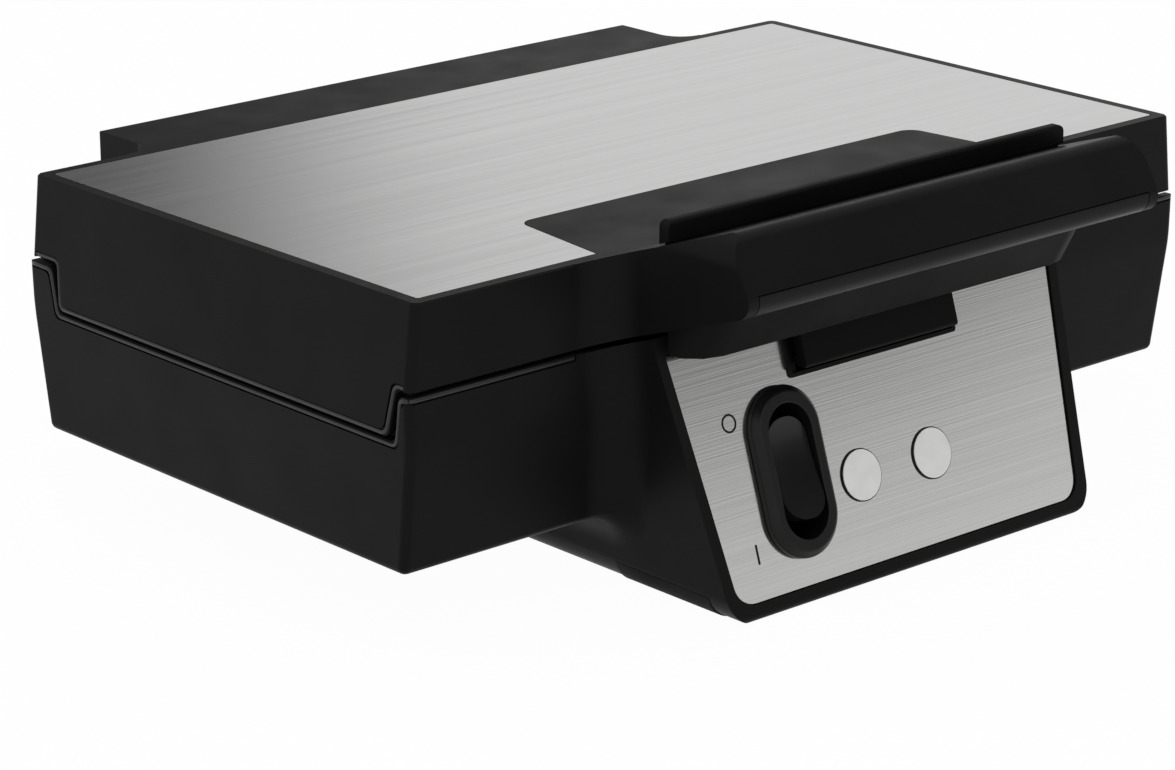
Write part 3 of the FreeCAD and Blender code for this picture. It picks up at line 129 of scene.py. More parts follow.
def blend_colours(tree, value, first, second):
    """Mix two colours by a value between 0 and 1."""
    mix = tree.nodes.new("ShaderNodeMix")
    mix.data_type = "RGBA"
    mix.inputs["A"].default_value = (*first, 1)
    mix.inputs["B"].default_value = (*second, 1)
    tree.links.new(value, mix.inputs["Factor"])
    return mix.outputs["Result"]


def relief(tree, shader, value, strength, depth):
    """Fine surface relief from a height value."""
    bump = tree.nodes.new("ShaderNodeBump")
    bump.inputs["Strength"].default_value = strength
    bump.inputs["Distance"].default_value = depth
    tree.links.new(value, bump.inputs["Height"])
    tree.links.new(bump.outputs["Normal"], shader.inputs["Normal"])


def grained_black(name, dark, light, smooth, rough, grain, gloss=0.06):
    """Black moulding with eroded grain and a faint unevenness of sheen."""
    cloud_scale, sheen_scale = 22, 60
    grain_strength, grain_depth = 0.12, 0.00006
    finish, tree, shader, where = new_finish(name)
    clouds = spread(tree, noise(tree, where, cloud_scale, 3), 0, 1)
    tree.links.new(blend_colours(tree, clouds, dark, light), shader.inputs["Base Color"])
    sheen = spread(tree, noise(tree, where, sheen_scale, 4), smooth, rough)
    tree.links.new(sheen, shader.inputs["Roughness"])
    shader.inputs["Specular IOR Level"].default_value = gloss
    relief(tree, shader, noise(tree, where, grain, 2), grain_strength, grain_depth)
    return finish


shell_edge = 0.00025
satin_black = grained_black("satin_black", (0.0046, 0.0046, 0.0048), (0.0060, 0.0060, 0.0062),
                            smooth=0.38, rough=0.48, grain=2600)
dress("base_shell", satin_black, shell_edge)
underside_black = grained_black("underside_black", (0.009, 0.009, 0.009), (0.012, 0.012, 0.012),
                                smooth=0.5, rough=0.62, grain=1800)
dress("bottom_cover", underside_black)


# Feet and cord gland: the pads are pressed into pockets in the pedestal's lower edge,
# and the gland sits in a hole in the rear wall.
# Their black rubber is matt and a little paler than the moulding.
rubber = grained_black("foot_rubber", (0.010, 0.010, 0.010), (0.018, 0.018, 0.017),
                       smooth=0.6, rough=0.8, grain=1200)
for foot in ("front_foot_left", "front_foot_right", "rear_foot_left", "rear_foot_right"):
    dress(foot, rubber)
dress("cord_gland", rubber)


# Control panel: a thin sheet of stainless steel, brushed from side to side, let into the housing.
# The brush leaves long fine scratches of uneven depth that spread each highlight up and down.
def brushed_steel(name, across, dark, light, smooth, rough, scratch):
    """Stainless sheet whose scratches run along X; across scales the other axes."""
    fine_along, broad_along, broad_share = 14, 5, 0.12
    scratch_depth = 0.00008
    finish, tree, shader, where = new_finish(name)
    shader.inputs["Metallic"].default_value = 1.0
    fine = noise(tree, where, 1.0, 3, (fine_along, across, across))
    broad = noise(tree, where, 1.0, 2, (broad_along, across * broad_share, across * broad_share))
    tree.links.new(blend_colours(tree, spread(tree, fine, 0, 1), dark, light), shader.inputs["Base Color"])
    tree.links.new(spread(tree, broad, smooth, rough), shader.inputs["Roughness"])
    relief(tree, shader, fine, scratch, scratch_depth)
    return finish


sheet_edge = 0.00015
panel_steel = brushed_steel("panel_steel", 2600, (0.55, 0.55, 0.535), (0.575, 0.575, 0.56),
                            smooth=0.12, rough=0.17, scratch=0.11)
dress("control_panel", panel_steel, sheet_edge)


# Switch: an oval surround and a dished rocker, both polished black plastic, in front of the switch case.
# The surround sits on the panel, and the rocker turns on an axle inside it.
switch_edge = 0.0003
gloss_black = grained_black("gloss_black", (0.008, 0.008, 0.008), (0.010, 0.010, 0.010),
                            smooth=0.18, rough=0.26, grain=700, gloss=0.3)
surround_black = grained_black("surround_black", (0.005, 0.005, 0.005), (0.007, 0.007, 0.007),
                               smooth=0.3, rough=0.38, grain=1800, gloss=0.16)
dress("switch_bezel", surround_black, switch_edge)
dress("switch_rocker", gloss_black, switch_edge)
dress("switch_body", surround_black)


# Lamps: pale diffusing lenses set in holes in the steel, each over a small glass bulb.
# The lens is a milky plastic disc that stands a little proud of the sheet.
def milky_lens():
    """Pale plastic with a faint unevenness that lets a little light in."""
    dull, bright = (0.66, 0.66, 0.648), (0.71, 0.71, 0.697)
    mist_scale, ripple_scale, ripple_strength, ripple_depth = 260, 900, 0.05, 0.00004
    finish, tree, shader, where = new_finish("milky_lens")
    mist = spread(tree, noise(tree, where, mist_scale, 3), 0, 1)
    tree.links.new(blend_colours(tree, mist, dull, bright), shader.inputs["Base Color"])
    shader.inputs["Roughness"].default_value = 0.28
    shader.inputs["Subsurface Weight"].default_value = 0.2
    shader.inputs["Subsurface Radius"].default_value = (0.002, 0.002, 0.002)
    relief(tree, shader, noise(tree, where, ripple_scale, 2), ripple_strength, ripple_depth)
    return finish


lens_white = milky_lens()
for lens in ("power_lamp_lens", "ready_lamp_lens"):
    dress(lens, lens_white)


# Lid shell: the matching black moulding, with the handle slab and the hinge block in one piece.
# The handle lip, latch clip and shell share a grain, and the lip is a little smoother.
dress("lid_shell", satin_black, shell_edge)
# The clip's black is painted darker and duller than the shell's, as painted shade under the handle.
clip_shade_black = grained_black("clip_shade_black", (0.0040, 0.0040, 0.0042), (0.0054, 0.0054, 0.0056),
                           smooth=0.45, rough=0.55, grain=2600, gloss=0.04)
dress("latch_clip", clip_shade_black, shell_edge)
# The lip's black is painted lighter than the shell's, as a painted reflection of the white floor on its lower
# rounding.
lip_black = grained_black("lip_black", (0.0075, 0.0075, 0.0078), (0.010, 0.010, 0.010),
                          smooth=0.26, rough=0.34, grain=2600)
dress("handle_lip", lip_black, shell_edge)


# Edge ribs: thin round ribs of the shells' black plastic along the lid's lower edge and the base's
# upper edge, half sunk in their rebates. They follow the stepped parting line in two thin lines.
def rib_tree():
    """Tree that sweeps a round rib along a line of edges with rounded corners."""
    tree = bpy.data.node_groups.new("edge_rib", "GeometryNodeTree")
    tree.interface.new_socket("Geometry", in_out="INPUT", socket_type="NodeSocketGeometry")
    tree.interface.new_socket("Rib Radius", in_out="INPUT", socket_type="NodeSocketFloat")
    tree.interface.new_socket("Bend Radius", in_out="INPUT", socket_type="NodeSocketFloat")
    tree.interface.new_socket("Finish", in_out="INPUT", socket_type="NodeSocketMaterial")
    tree.interface.new_socket("Geometry", in_out="OUTPUT", socket_type="NodeSocketGeometry")
    start = tree.nodes.new("NodeGroupInput")
    end = tree.nodes.new("NodeGroupOutput")
    line = tree.nodes.new("GeometryNodeMeshToCurve")
    bend = tree.nodes.new("GeometryNodeFilletCurve")
    bend.mode = "POLY"
    bend.inputs["Count"].default_value = 5
    bend.inputs["Limit Radius"].default_value = True
    section = tree.nodes.new("GeometryNodeCurvePrimitiveCircle")
    section.inputs["Resolution"].default_value = 12
    sweep = tree.nodes.new("GeometryNodeCurveToMesh")
    sweep.inputs["Fill Caps"].default_value = True
    smooth = tree.nodes.new("GeometryNodeSetShadeSmooth")
    whole = tree.nodes.new("GeometryNodeRealizeInstances")
    finish = tree.nodes.new("GeometryNodeSetMaterial")
    link = tree.links.new
    link(start.outputs["Geometry"], line.inputs["Mesh"])
    link(line.outputs["Curve"], bend.inputs["Curve"])
    link(start.outputs["Bend Radius"], bend.inputs["Radius"])
    link(start.outputs["Rib Radius"], section.inputs["Radius"])
    link(bend.outputs["Curve"], sweep.inputs["Curve"])
    link(section.outputs["Curve"], sweep.inputs["Profile Curve"])
    link(sweep.outputs["Mesh"], smooth.inputs["Geometry"])
    link(smooth.outputs["Geometry"], whole.inputs["Geometry"])
    link(whole.outputs["Geometry"], finish.inputs["Geometry"])
    link(start.outputs["Finish"], finish.inputs["Material"])
    link(finish.outputs["Geometry"], end.inputs["Geometry"])
    return tree


def grow_piece(name, seed_mesh, tree, sizes, body):
    """Run a tree on a seed mesh, keep its result as a plain mesh and let it ride on a body."""
    piece = bpy.data.objects.new(name, seed_mesh)
    bpy.context.scene.collection.objects.link(piece)
    modifier = piece.modifiers.new(tree.name, "NODES")
    modifier.node_group = tree
    for socket in tree.interface.items_tree:
        if socket.in_out == "INPUT" and socket.name in sizes:
            modifier[socket.identifier] = sizes[socket.name]
    bpy.context.view_layer.update()
    evaluated = piece.evaluated_get(bpy.context.evaluated_depsgraph_get())
    piece.data = bpy.data.meshes.new_from_object(evaluated)
    piece.modifiers.clear()
    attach(piece, body)
    return piece


lid_front, lid_rear = -0.0644, 0.0866
lid_edge_z, skirt_z, top_z = 0.0650, 0.0533, 0.0857
step_front, step_rear, step_slant = 0.0049, 0.0108, 0.0020
lid_half_top, lid_draft = 0.128, 0.105
base_half_top, base_draft = 0.1313, 0.0243
rebate, rib_radius, rib_bend = 0.0006, 0.00058, 0.0019
lid_lift, base_lift = 0.00075, -0.00195
lid_end_gap, base_end_gap = 0.0022, 0.0002
front_end_x, rear_end_x = 0.0810, 0.1005


def parting_route(lift):
    """Corners of the stepped parting line, front to rear, as depth and height."""
    front = lid_front + step_front + lift
    rear = lid_rear - step_rear - lift
    high, low = lid_edge_z + lift, skirt_z + lift
    return [(front, high), (front + step_slant, low), (rear - step_slant, low), (rear, high)]


def lid_side(z):
    """Half width of the lid's rebate at a height."""
    return lid_half_top + lid_draft * (top_z - z) - rebate


def base_side(z):
    """Half width of the base's rebate at a height."""
    return base_half_top - base_draft * (top_z - z) - rebate


def rib(name, route, body):
    """One rib along a route of points."""
    mesh = bpy.data.meshes.new(name)
    mesh.from_pydata(route, [(step, step + 1) for step in range(len(route) - 1)], [])
    sizes = {"Rib Radius": rib_radius, "Bend Radius": rib_bend, "Finish": rib_highlight_black}
    grow_piece(name, mesh, edge_rib, sizes, body)


edge_rib = rib_tree()
# The ribs' black is painted a little lighter and glossier than the shells', as painted highlight lines along
# the parting.
rib_highlight_black = grained_black("rib_highlight_black", (0.006, 0.006, 0.0062), (0.008, 0.008, 0.008),
                          smooth=0.3, rough=0.4, grain=2600, gloss=0.4)
for side, hand in ((-1, "left"), (1, "right")):
    run = parting_route(lid_lift)
    run = [(lid_front + lid_end_gap, run[0][1])] + run + [(lid_rear - lid_end_gap, run[-1][1])]
    rib("lid_rib_" + hand, [(side * lid_side(z), y, z) for y, z in run], "lid")
    run = parting_route(base_lift)
    high = run[0][1]
    front, rear = lid_front + base_end_gap, lid_rear - base_end_gap
    along = [(side * base_side(z), y, z) for y, z in [(front, high)] + run + [(rear, high)]]
    first, last = (side * front_end_x, front, high), (side * rear_end_x, rear, high)
    rib("base_rib_" + hand, [first] + along + [last], "base")


# Lid top: a larger brushed sheet laid flush into the lid, cut out round the handle's root.
# It is stainless steel too, and its scratches are bolder than the panel's.
lid_steel = brushed_steel("lid_steel", 2200, (0.532, 0.532, 0.527), (0.574, 0.574, 0.569),
                          smooth=0.17, rough=0.23, scratch=0.3)
dress("lid_top_plate", lid_steel, sheet_edge)


# Ring moulds: cast aluminium under a dark non-stick coat with a faint speckle.
# Each has six half-ring grooves and is screwed down from behind, one in the lid and one in the base.
def non_stick():
    """Dark speckled coat with a fine texture."""
    dark, speckle = (0.016, 0.016, 0.017), (0.05, 0.05, 0.05)
    speckle_scale, sheen_scale, texture_scale = 1500, 90, 1100
    texture_strength, texture_depth = 0.12, 0.00005
    finish, tree, shader, where = new_finish("non_stick")
    speck = spread(tree, noise(tree, where, speckle_scale, 2), 0, 1)
    tree.links.new(blend_colours(tree, speck, dark, speckle), shader.inputs["Base Color"])
    tree.links.new(spread(tree, noise(tree, where, sheen_scale, 3), 0.3, 0.45), shader.inputs["Roughness"])
    relief(tree, shader, noise(tree, where, texture_scale, 2), texture_strength, texture_depth)
    return finish


coat = non_stick()
ring_pitch, ring_r, ring_turns = (0.078, 0.062), 0.0185, 64
groove_half, groove_depth, rim_out = 0.0095, 0.0086, 0.0108
groove_start, groove_sweep, groove_steps = 12, 156, 12
mould_wall = 0.0022


def ring_cup():
    """One half-ring groove with its middle post, turned round a rounded profile."""
    rim = [(rim_out, 0.0), (0.0102, -0.00008), (0.0097, -0.0004), (0.0094, -0.0010)]
    parts = [step / groove_steps for step in range(groove_steps + 1)]
    arc = [math.radians(groove_start + groove_sweep * part) for part in parts]
    hollow = [(groove_half * math.cos(turn), -groove_depth * math.sin(turn)) for turn in arc]
    profile = rim + hollow + [(-s, z) for s, z in reversed(rim)]
    mesh = bpy.data.meshes.new("ring_cup")
    build = bmesh.new()
    loops = []
    for s, z in profile:
        turns = [2 * math.pi * step / ring_turns for step in range(ring_turns)]
        reach = ring_r + s
        loops.append([build.verts.new((reach * math.cos(turn), reach * math.sin(turn), z)) for turn in turns])
    for outer, inner in zip(loops, loops[1:]):
        for step in range(ring_turns):
            after = (step + 1) % ring_turns
            build.faces.new((outer[step], outer[after], inner[after], inner[step]))
    build.faces.new(loops[-1])
    for face in build.faces:
        face.smooth = True
    build.to_mesh(mesh)
    build.free()
    return mesh


def mould_tree():
    """Tree that sets six cups into a flat plate and turns its edge down into a skirt."""
    tree = bpy.data.node_groups.new("ring_mould", "GeometryNodeTree")
    tree.interface.new_socket("Geometry", in_out="INPUT", socket_type="NodeSocketGeometry")
    for size in ("Pitch Across", "Pitch Deep", "Rim Radius", "Plate Width", "Plate Depth", "Skirt",
                 "Face Height", "Plate Y", "Turn"):
        tree.interface.new_socket(size, in_out="INPUT", socket_type="NodeSocketFloat")
    tree.interface.new_socket("Finish", in_out="INPUT", socket_type="NodeSocketMaterial")
    tree.interface.new_socket("Geometry", in_out="OUTPUT", socket_type="NodeSocketGeometry")
    start = tree.nodes.new("NodeGroupInput")
    end = tree.nodes.new("NodeGroupOutput")
    link = tree.links.new
    spots = tree.nodes.new("GeometryNodeMeshGrid")
    spots.inputs["Vertices X"].default_value = 3
    spots.inputs["Vertices Y"].default_value = 2
    span = tree.nodes.new("ShaderNodeMath")
    span.operation = "MULTIPLY"
    span.inputs[1].default_value = 2.0
    link(start.outputs["Pitch Across"], span.inputs[0])
    link(span.outputs["Value"], spots.inputs["Size X"])
    link(start.outputs["Pitch Deep"], spots.inputs["Size Y"])
    cups = tree.nodes.new("GeometryNodeInstanceOnPoints")
    link(spots.outputs["Mesh"], cups.inputs["Points"])
    link(start.outputs["Geometry"], cups.inputs["Instance"])
    hole = tree.nodes.new("GeometryNodeCurvePrimitiveCircle")
    hole.inputs["Resolution"].default_value = ring_turns
    link(start.outputs["Rim Radius"], hole.inputs["Radius"])
    holes = tree.nodes.new("GeometryNodeInstanceOnPoints")
    link(spots.outputs["Mesh"], holes.inputs["Points"])
    link(hole.outputs["Curve"], holes.inputs["Instance"])
    outline = tree.nodes.new("GeometryNodeCurvePrimitiveQuadrilateral")
    link(start.outputs["Plate Width"], outline.inputs["Width"])
    link(start.outputs["Plate Depth"], outline.inputs["Height"])
    drawn = tree.nodes.new("GeometryNodeJoinGeometry")
    link(holes.outputs["Instances"], drawn.inputs["Geometry"])
    link(outline.outputs["Curve"], drawn.inputs["Geometry"])
    curves = tree.nodes.new("GeometryNodeRealizeInstances")
    link(drawn.outputs["Geometry"], curves.inputs["Geometry"])
    flat = tree.nodes.new("GeometryNodeFillCurve")
    link(curves.outputs["Geometry"], flat.inputs["Curve"])
    joined = tree.nodes.new("GeometryNodeJoinGeometry")
    link(cups.outputs["Instances"], joined.inputs["Geometry"])
    link(flat.outputs["Mesh"], joined.inputs["Geometry"])
    whole = tree.nodes.new("GeometryNodeRealizeInstances")
    link(joined.outputs["Geometry"], whole.inputs["Geometry"])
    weld_gap = 0.00002
    weld = tree.nodes.new("GeometryNodeMergeByDistance")
    weld.inputs["Distance"].default_value = weld_gap
    link(whole.outputs["Geometry"], weld.inputs["Geometry"])
    sharing = tree.nodes.new("GeometryNodeInputMeshEdgeNeighbors")
    border = tree.nodes.new("FunctionNodeCompare")
    border.data_type = "INT"
    border.operation = "EQUAL"
    border.inputs["B"].default_value = 1
    link(sharing.outputs["Face Count"], border.inputs["A"])
    skirt = tree.nodes.new("GeometryNodeExtrudeMesh")
    skirt.mode = "EDGES"
    down = tree.nodes.new("ShaderNodeCombineXYZ")
    down.inputs["Z"].default_value = -1.0
    link(weld.outputs["Geometry"], skirt.inputs["Mesh"])
    link(border.outputs["Result"], skirt.inputs["Selection"])
    link(down.outputs["Vector"], skirt.inputs["Offset"])
    link(start.outputs["Skirt"], skirt.inputs["Offset Scale"])
    place = tree.nodes.new("ShaderNodeCombineXYZ")
    link(start.outputs["Plate Y"], place.inputs["Y"])
    link(start.outputs["Face Height"], place.inputs["Z"])
    way = tree.nodes.new("ShaderNodeCombineXYZ")
    link(start.outputs["Turn"], way.inputs["X"])
    laid = tree.nodes.new("GeometryNodeTransform")
    link(skirt.outputs["Mesh"], laid.inputs["Geometry"])
    link(place.outputs["Vector"], laid.inputs["Translation"])
    link(way.outputs["Vector"], laid.inputs["Rotation"])
    finish = tree.nodes.new("GeometryNodeSetMaterial")
    link(laid.outputs["Geometry"], finish.inputs["Geometry"])
    link(start.outputs["Finish"], finish.inputs["Material"])
    link(finish.outputs["Geometry"], end.inputs["Geometry"])
    return tree


ring_mould = mould_tree()
cup = ring_cup()
for name, node, body, facing_up, skirt in (("lower_ring_mould", "lower_mould_plate", "base", True, 0.014),
                                          ("upper_ring_mould", "upper_mould_plate", "lid", False, 0.003)):
    low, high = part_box(node)
    face, turn = (high[2], 0.0) if facing_up else (low[2], math.pi)
    sizes = {"Pitch Across": ring_pitch[0], "Pitch Deep": ring_pitch[1], "Rim Radius": ring_r + rim_out,
             "Plate Width": high[0] - low[0], "Plate Depth": high[1] - low[1], "Skirt": skirt,
             "Face Height": face, "Plate Y": (low[1] + high[1]) / 2, "Turn": turn, "Finish": coat}
    mould = grow_piece(name, cup, ring_mould, sizes, body)
    build = bmesh.new()
    build.from_mesh(mould.data)
    bmesh.ops.recalc_face_normals(build, faces=build.faces)
    build.to_mesh(mould.data)
    build.free()
    wall = mould.modifiers.new("wall", "SOLIDIFY")
    wall.thickness = mould_wall
    wall.offset = -1.0
    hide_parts(node)


# Inner pieces: plated or blackened steel fasteners, pins and spring, aluminium shields, heater tubes,
# pale wiring blocks and glass bulbs. Most are shut in by the shells, the moulds and the cover.
def plain_metal(name, dark, light, smooth, rough):
    """Bare metal with a slightly uneven colour and sheen."""
    cloud_scale, sheen_scale, texture_scale = 140, 320, 900
    texture_strength, texture_depth = 0.08, 0.00003
    finish, tree, shader, where = new_finish(name)
    shader.inputs["Metallic"].default_value = 1.0
    clouds = spread(tree, noise(tree, where, cloud_scale, 4), 0, 1)
    tree.links.new(blend_colours(tree, clouds, dark, light), shader.inputs["Base Color"])
    sheen = spread(tree, noise(tree, where, sheen_scale, 3), smooth, rough)
    tree.links.new(sheen, shader.inputs["Roughness"])
    relief(tree, shader, noise(tree, where, texture_scale, 2), texture_strength, texture_depth)
    return finish


zinc = plain_metal("zinc_plate", (0.42, 0.42, 0.43), (0.56, 0.56, 0.56), 0.25, 0.4)
for part in ("hinge_pin_left", "hinge_pin_right", "latch_pin", "latch_spring", "upper_plate_screws",
             "lower_plate_screws"):
    dress(part, zinc)
black_oxide = plain_metal("black_oxide", (0.012, 0.012, 0.013), (0.022, 0.022, 0.022), 0.35, 0.5)
for part in ("handle_screws", "cover_screws"):
    dress(part, black_oxide)
sheet_aluminium = plain_metal("sheet_aluminium", (0.6, 0.6, 0.6), (0.72, 0.72, 0.72), 0.3, 0.42)
for part in ("upper_heat_shield", "lower_heat_shield", "thermal_fuse"):
    dress(part, sheet_aluminium)
heater_tube = plain_metal("heater_tube", (0.12, 0.11, 0.1), (0.2, 0.18, 0.16), 0.4, 0.55)
for part in ("upper_heating_element", "lower_heating_element"):
    dress(part, heater_tube)


def natural_nylon():
    """Pale undyed plastic."""
    dark, light = (0.5, 0.47, 0.4), (0.6, 0.57, 0.5)
    cloud_scale, texture_scale, texture_strength, texture_depth = 80, 800, 0.1, 0.00005
    finish, tree, shader, where = new_finish("natural_nylon")
    clouds = spread(tree, noise(tree, where, cloud_scale, 3), 0, 1)
    tree.links.new(blend_colours(tree, clouds, dark, light), shader.inputs["Base Color"])
    shader.inputs["Roughness"].default_value = 0.5
    relief(tree, shader, noise(tree, where, texture_scale, 2), texture_strength, texture_depth)
    return finish


nylon = natural_nylon()
for part in ("terminal_block", "thermostat"):
    dress(part, nylon)


def bulb_glass():
    """Warm clear glass with a slightly uneven polish."""
    polish_scale = 300
    finish, tree, shader, where = new_finish("bulb_glass")
    shader.inputs["Base Color"].default_value = (0.95, 0.9, 0.85, 1)
    shader.inputs["Transmission Weight"].default_value = 0.9
    tree.links.new(spread(tree, noise(tree, where, polish_scale, 2), 0.03, 0.08), shader.inputs["Roughness"])
    return finish


clear_glass = bulb_glass()
for part in ("power_lamp_bulb", "ready_lamp_bulb"):
    dress(part, clear_glass)


# Switch marks: a ring and a bar printed in black on the steel beside the rocker.
# The ink is a thin matt film that follows the sloping sheet.
panel_foot = (0, -0.0976, 0.0045)
panel_slope = math.atan(0.329)
panel_frame = Matrix.Translation(panel_foot) @ Matrix.Rotation(math.pi / 2 - panel_slope, 4, "X")
ink_film, ring_sides = 0.00006, 40
off_centre, off_outer, off_inner = (-0.0500, 0.0427), 0.0023, 0.0018
on_centre, on_outer, on_inner = (-0.0497, 0.0109), (0.0003, 0.0024), (0.00002, 0.0021)


def panel_rings(name, outline_rings, film, material):
    """Thin rings that lie on the panel, each from an outer and an inner loop of points."""
    mesh = bpy.data.meshes.new(name)
    build = bmesh.new()
    for outer, inner in outline_rings:
        loops = []
        for ring, height in ((outer, -film), (outer, film), (inner, film), (inner, -film)):
            loops.append([build.verts.new(panel_frame @ Vector((u, v, height))) for u, v in ring])
        for first, second in zip(loops, loops[1:] + loops[:1]):
            count = len(first)
            for index in range(count):
                after = (index + 1) % count
                build.faces.new((first[index], first[after], second[after], second[index]))
    bmesh.ops.recalc_face_normals(build, faces=build.faces)
    build.to_mesh(mesh)
    build.free()
    piece = bpy.data.objects.new(name, mesh)
    bpy.context.scene.collection.objects.link(piece)
    piece.data.materials.append(material)
    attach(piece, "base")


def round_loop(centre, radius):
    """Points of a circle on the panel."""
    turns = [2 * math.pi * step / ring_sides for step in range(ring_sides)]
    return [(centre[0] + radius * math.cos(turn), centre[1] + radius * math.sin(turn)) for turn in turns]


def bar_loop(centre, half):
    """Corners of an upright bar on the panel."""
    corners = ((-1, -1), (1, -1), (1, 1), (-1, 1))
    return [(centre[0] + u * half[0], centre[1] + v * half[1]) for u, v in corners]


# This black is the print of the switch marks and also the painted shade of the rings round the lenses.
print_and_gap_shade_ink = grained_black("mark_ink_and_gap_shade", (0.01, 0.01, 0.01), (0.014, 0.014, 0.014), smooth=0.5, rough=0.6, grain=900)
off_loops = [(round_loop(off_centre, off_outer), round_loop(off_centre, off_inner))]
panel_rings("off_mark", off_loops, ink_film, print_and_gap_shade_ink)
on_loops = [(bar_loop(on_centre, on_outer), bar_loop(on_centre, on_inner))]
panel_rings("on_mark", on_loops, ink_film, print_and_gap_shade_ink)


# Lens gap shade: thin black rings painted between each lens and the edge of its hole in the steel.
# They are painted shade for the shadow in that gap, and show as a fine dark line round it.
lamp_spots = [(-0.0122, 0.0217), (0.0122, 0.0217)]
gap_shade_outer, gap_shade_inner, gap_shade_half_t = 0.0065, 0.00622, 0.0004
gap_shade_loops = [(round_loop(spot, gap_shade_outer), round_loop(spot, gap_shade_inner)) for spot in lamp_spots]
panel_rings("lens_gap_shade_rings", gap_shade_loops, gap_shade_half_t, print_and_gap_shade_ink)


# Studio: white floor, wide soft lamps above and in front, pale walls with two dark cards, and the camera
# at the photograph's angle. The floor shows white to the lens and the steel, and keeps a faint shadow.
floor_half, floor_grey, floor_glow = 12.0, 0.8, 0.97


def studio_floor():
    """Wide pale floor that glows to the camera and in reflections."""
    mesh = bpy.data.meshes.new("floor")
    corners = [(-floor_half, -floor_half, 0), (floor_half, -floor_half, 0),
               (floor_half, floor_half, 0), (-floor_half, floor_half, 0)]
    mesh.from_pydata(corners, [], [(0, 1, 2, 3)])
    floor = bpy.data.objects.new("floor", mesh)
    bpy.context.scene.collection.objects.link(floor)
    finish, tree, shader, _ = new_finish("floor_white")
    shader.inputs["Base Color"].default_value = (floor_grey, floor_grey, floor_grey, 1)
    shader.inputs["Roughness"].default_value = 0.9
    shader.inputs["Specular IOR Level"].default_value = 0.0
    path = tree.nodes.new("ShaderNodeLightPath")
    seen = tree.nodes.new("ShaderNodeMath")
    seen.operation = "MAXIMUM"
    tree.links.new(path.outputs["Is Camera Ray"], seen.inputs[0])
    either = tree.nodes.new("ShaderNodeMath")
    either.operation = "MAXIMUM"
    tree.links.new(path.outputs["Is Glossy Ray"], either.inputs[0])
    tree.links.new(path.outputs["Is Transmission Ray"], either.inputs[1])
    tree.links.new(either.outputs["Value"], seen.inputs[1])
    glow = tree.nodes.new("ShaderNodeEmission")
    glow.inputs["Strength"].default_value = 1.0
    mix = tree.nodes.new("ShaderNodeMixShader")
    share = tree.nodes.new("ShaderNodeMath")
    share.operation = "MULTIPLY"
    share.inputs[1].default_value = floor_glow
    tree.links.new(seen.outputs["Value"], share.inputs[0])
    tree.links.new(share.outputs["Value"], mix.inputs["Fac"])
    tree.links.new(shader.outputs["BSDF"], mix.inputs[1])
    tree.links.new(glow.outputs["Emission"], mix.inputs[2])
    tree.links.new(mix.outputs["Shader"], tree.nodes["Material Output"].inputs["Surface"])
    mesh.materials.append(finish)


studio_floor()


def soft_lamp(name, place, target, size, power):
    """Rectangular lamp that the camera doesn't see."""
    data = bpy.data.lights.new(name, "AREA")
    data.shape = "RECTANGLE"
    data.size, data.size_y = size
    data.energy = power
    lamp = bpy.data.objects.new(name, data)
    lamp.location = place
    lamp.rotation_euler = (Vector(target) - Vector(place)).to_track_quat("-Z", "Y").to_euler()
    lamp.visible_camera = False
    bpy.context.scene.collection.objects.link(lamp)


soft_lamp("top_lamp", place=(-0.1, -0.2, 1.4), target=(0, 0, 0.05), size=(2.6, 2.6), power=4.5)
soft_lamp("front_lamp", place=(-0.6, -1.4, 0.9), target=(0, -0.05, 0.05), size=(3.0, 2.2), power=6.5)

world = bpy.data.worlds.new("studio")
world.use_nodes = True
world_tree = world.node_tree
sky = world_tree.nodes.new("ShaderNodeTexCoord")


def world_math(operation, first, second):
    """One step of arithmetic on the world's light; each term is a socket or a number."""
    step = world_tree.nodes.new("ShaderNodeMath")
    step.operation = operation
    for term, socket in zip((first, second), step.inputs):
        if isinstance(term, float):
            socket.default_value = term
        else:
            world_tree.links.new(term, socket)
    return step.outputs["Value"]


def soft_step(value, start, end, low, high):
    """Smooth change from low to high as a value goes from start to end."""
    ramp = world_tree.nodes.new("ShaderNodeMapRange")
    ramp.interpolation_type = "SMOOTHSTEP"
    for term, number in zip(("From Min", "From Max", "To Min", "To Max"), (start, end, low, high)):
        ramp.inputs[term].default_value = number
    world_tree.links.new(value, ramp.inputs["Value"])
    return ramp.outputs["Result"]


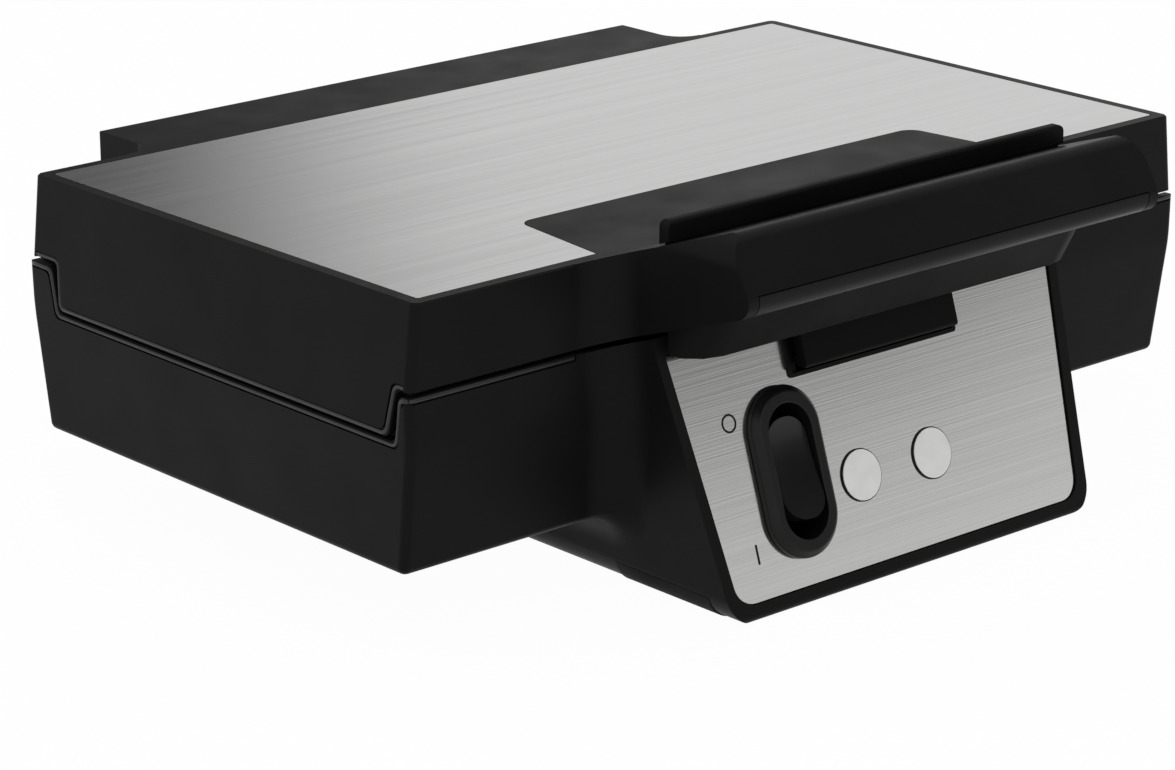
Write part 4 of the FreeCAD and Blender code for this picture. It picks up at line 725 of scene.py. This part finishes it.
wall_light = 0.9
rear_card_x, rear_card_core, rear_card_edge, rear_card_depth = 0.449, 0.093, 0.168, 0.87
rear_card_start, rear_card_full = 0.0, 0.2
front_card_way, front_card_light = (0.612, -0.648, 0.454), 0.04
front_card_edge, front_card_core = 0.935, 0.966
heading = world_tree.nodes.new("ShaderNodeSeparateXYZ")
world_tree.links.new(sky.outputs["Generated"], heading.inputs["Vector"])
off_middle = world_math("ABSOLUTE", world_math("SUBTRACT", heading.outputs["X"], rear_card_x), 0.0)
card_across = soft_step(off_middle, rear_card_core, rear_card_edge, rear_card_depth, 0.0)
card_behind = soft_step(heading.outputs["Y"], rear_card_start, rear_card_full, 0.0, 1.0)
rear_card = world_math("MULTIPLY", card_across, card_behind)
toward_card = world_tree.nodes.new("ShaderNodeVectorMath")
toward_card.operation = "DOT_PRODUCT"
toward_card.inputs[1].default_value = front_card_way
world_tree.links.new(sky.outputs["Generated"], toward_card.inputs[0])
nearness = toward_card.outputs["Value"]
front_card = soft_step(nearness, front_card_edge, front_card_core, 1.0, front_card_light)
open_wall = world_math("MULTIPLY", front_card, wall_light)
strength = world_math("MULTIPLY", open_wall, world_math("SUBTRACT", 1.0, rear_card))
world_tree.links.new(strength, world_tree.nodes["Background"].inputs["Strength"])
world_tree.nodes["Background"].inputs["Color"].default_value = (1.0, 1.0, 1.0, 1)
bpy.context.scene.world = world
bpy.context.scene.view_settings.view_transform = "Standard"

camera_place = (-0.66234, -0.72931, 0.34574)
camera_turn, camera_drop, camera_roll = -41.37, 18.13, -0.17
sensor_width, focal_length = 36.0, 122.28
lens_data = bpy.data.cameras.new("camera")
lens_data.sensor_width = sensor_width
lens_data.lens = focal_length
camera = bpy.data.objects.new("camera", lens_data)
turn = Matrix.Rotation(math.radians(camera_turn), 4, "Z")
tilt = Matrix.Rotation(math.radians(90 - camera_drop), 4, "X")
roll = Matrix.Rotation(math.radians(camera_roll), 4, "Z")
camera.matrix_world = Matrix.Translation(camera_place) @ turn @ tilt @ roll
bpy.context.scene.collection.objects.link(camera)
bpy.context.scene.camera = camera
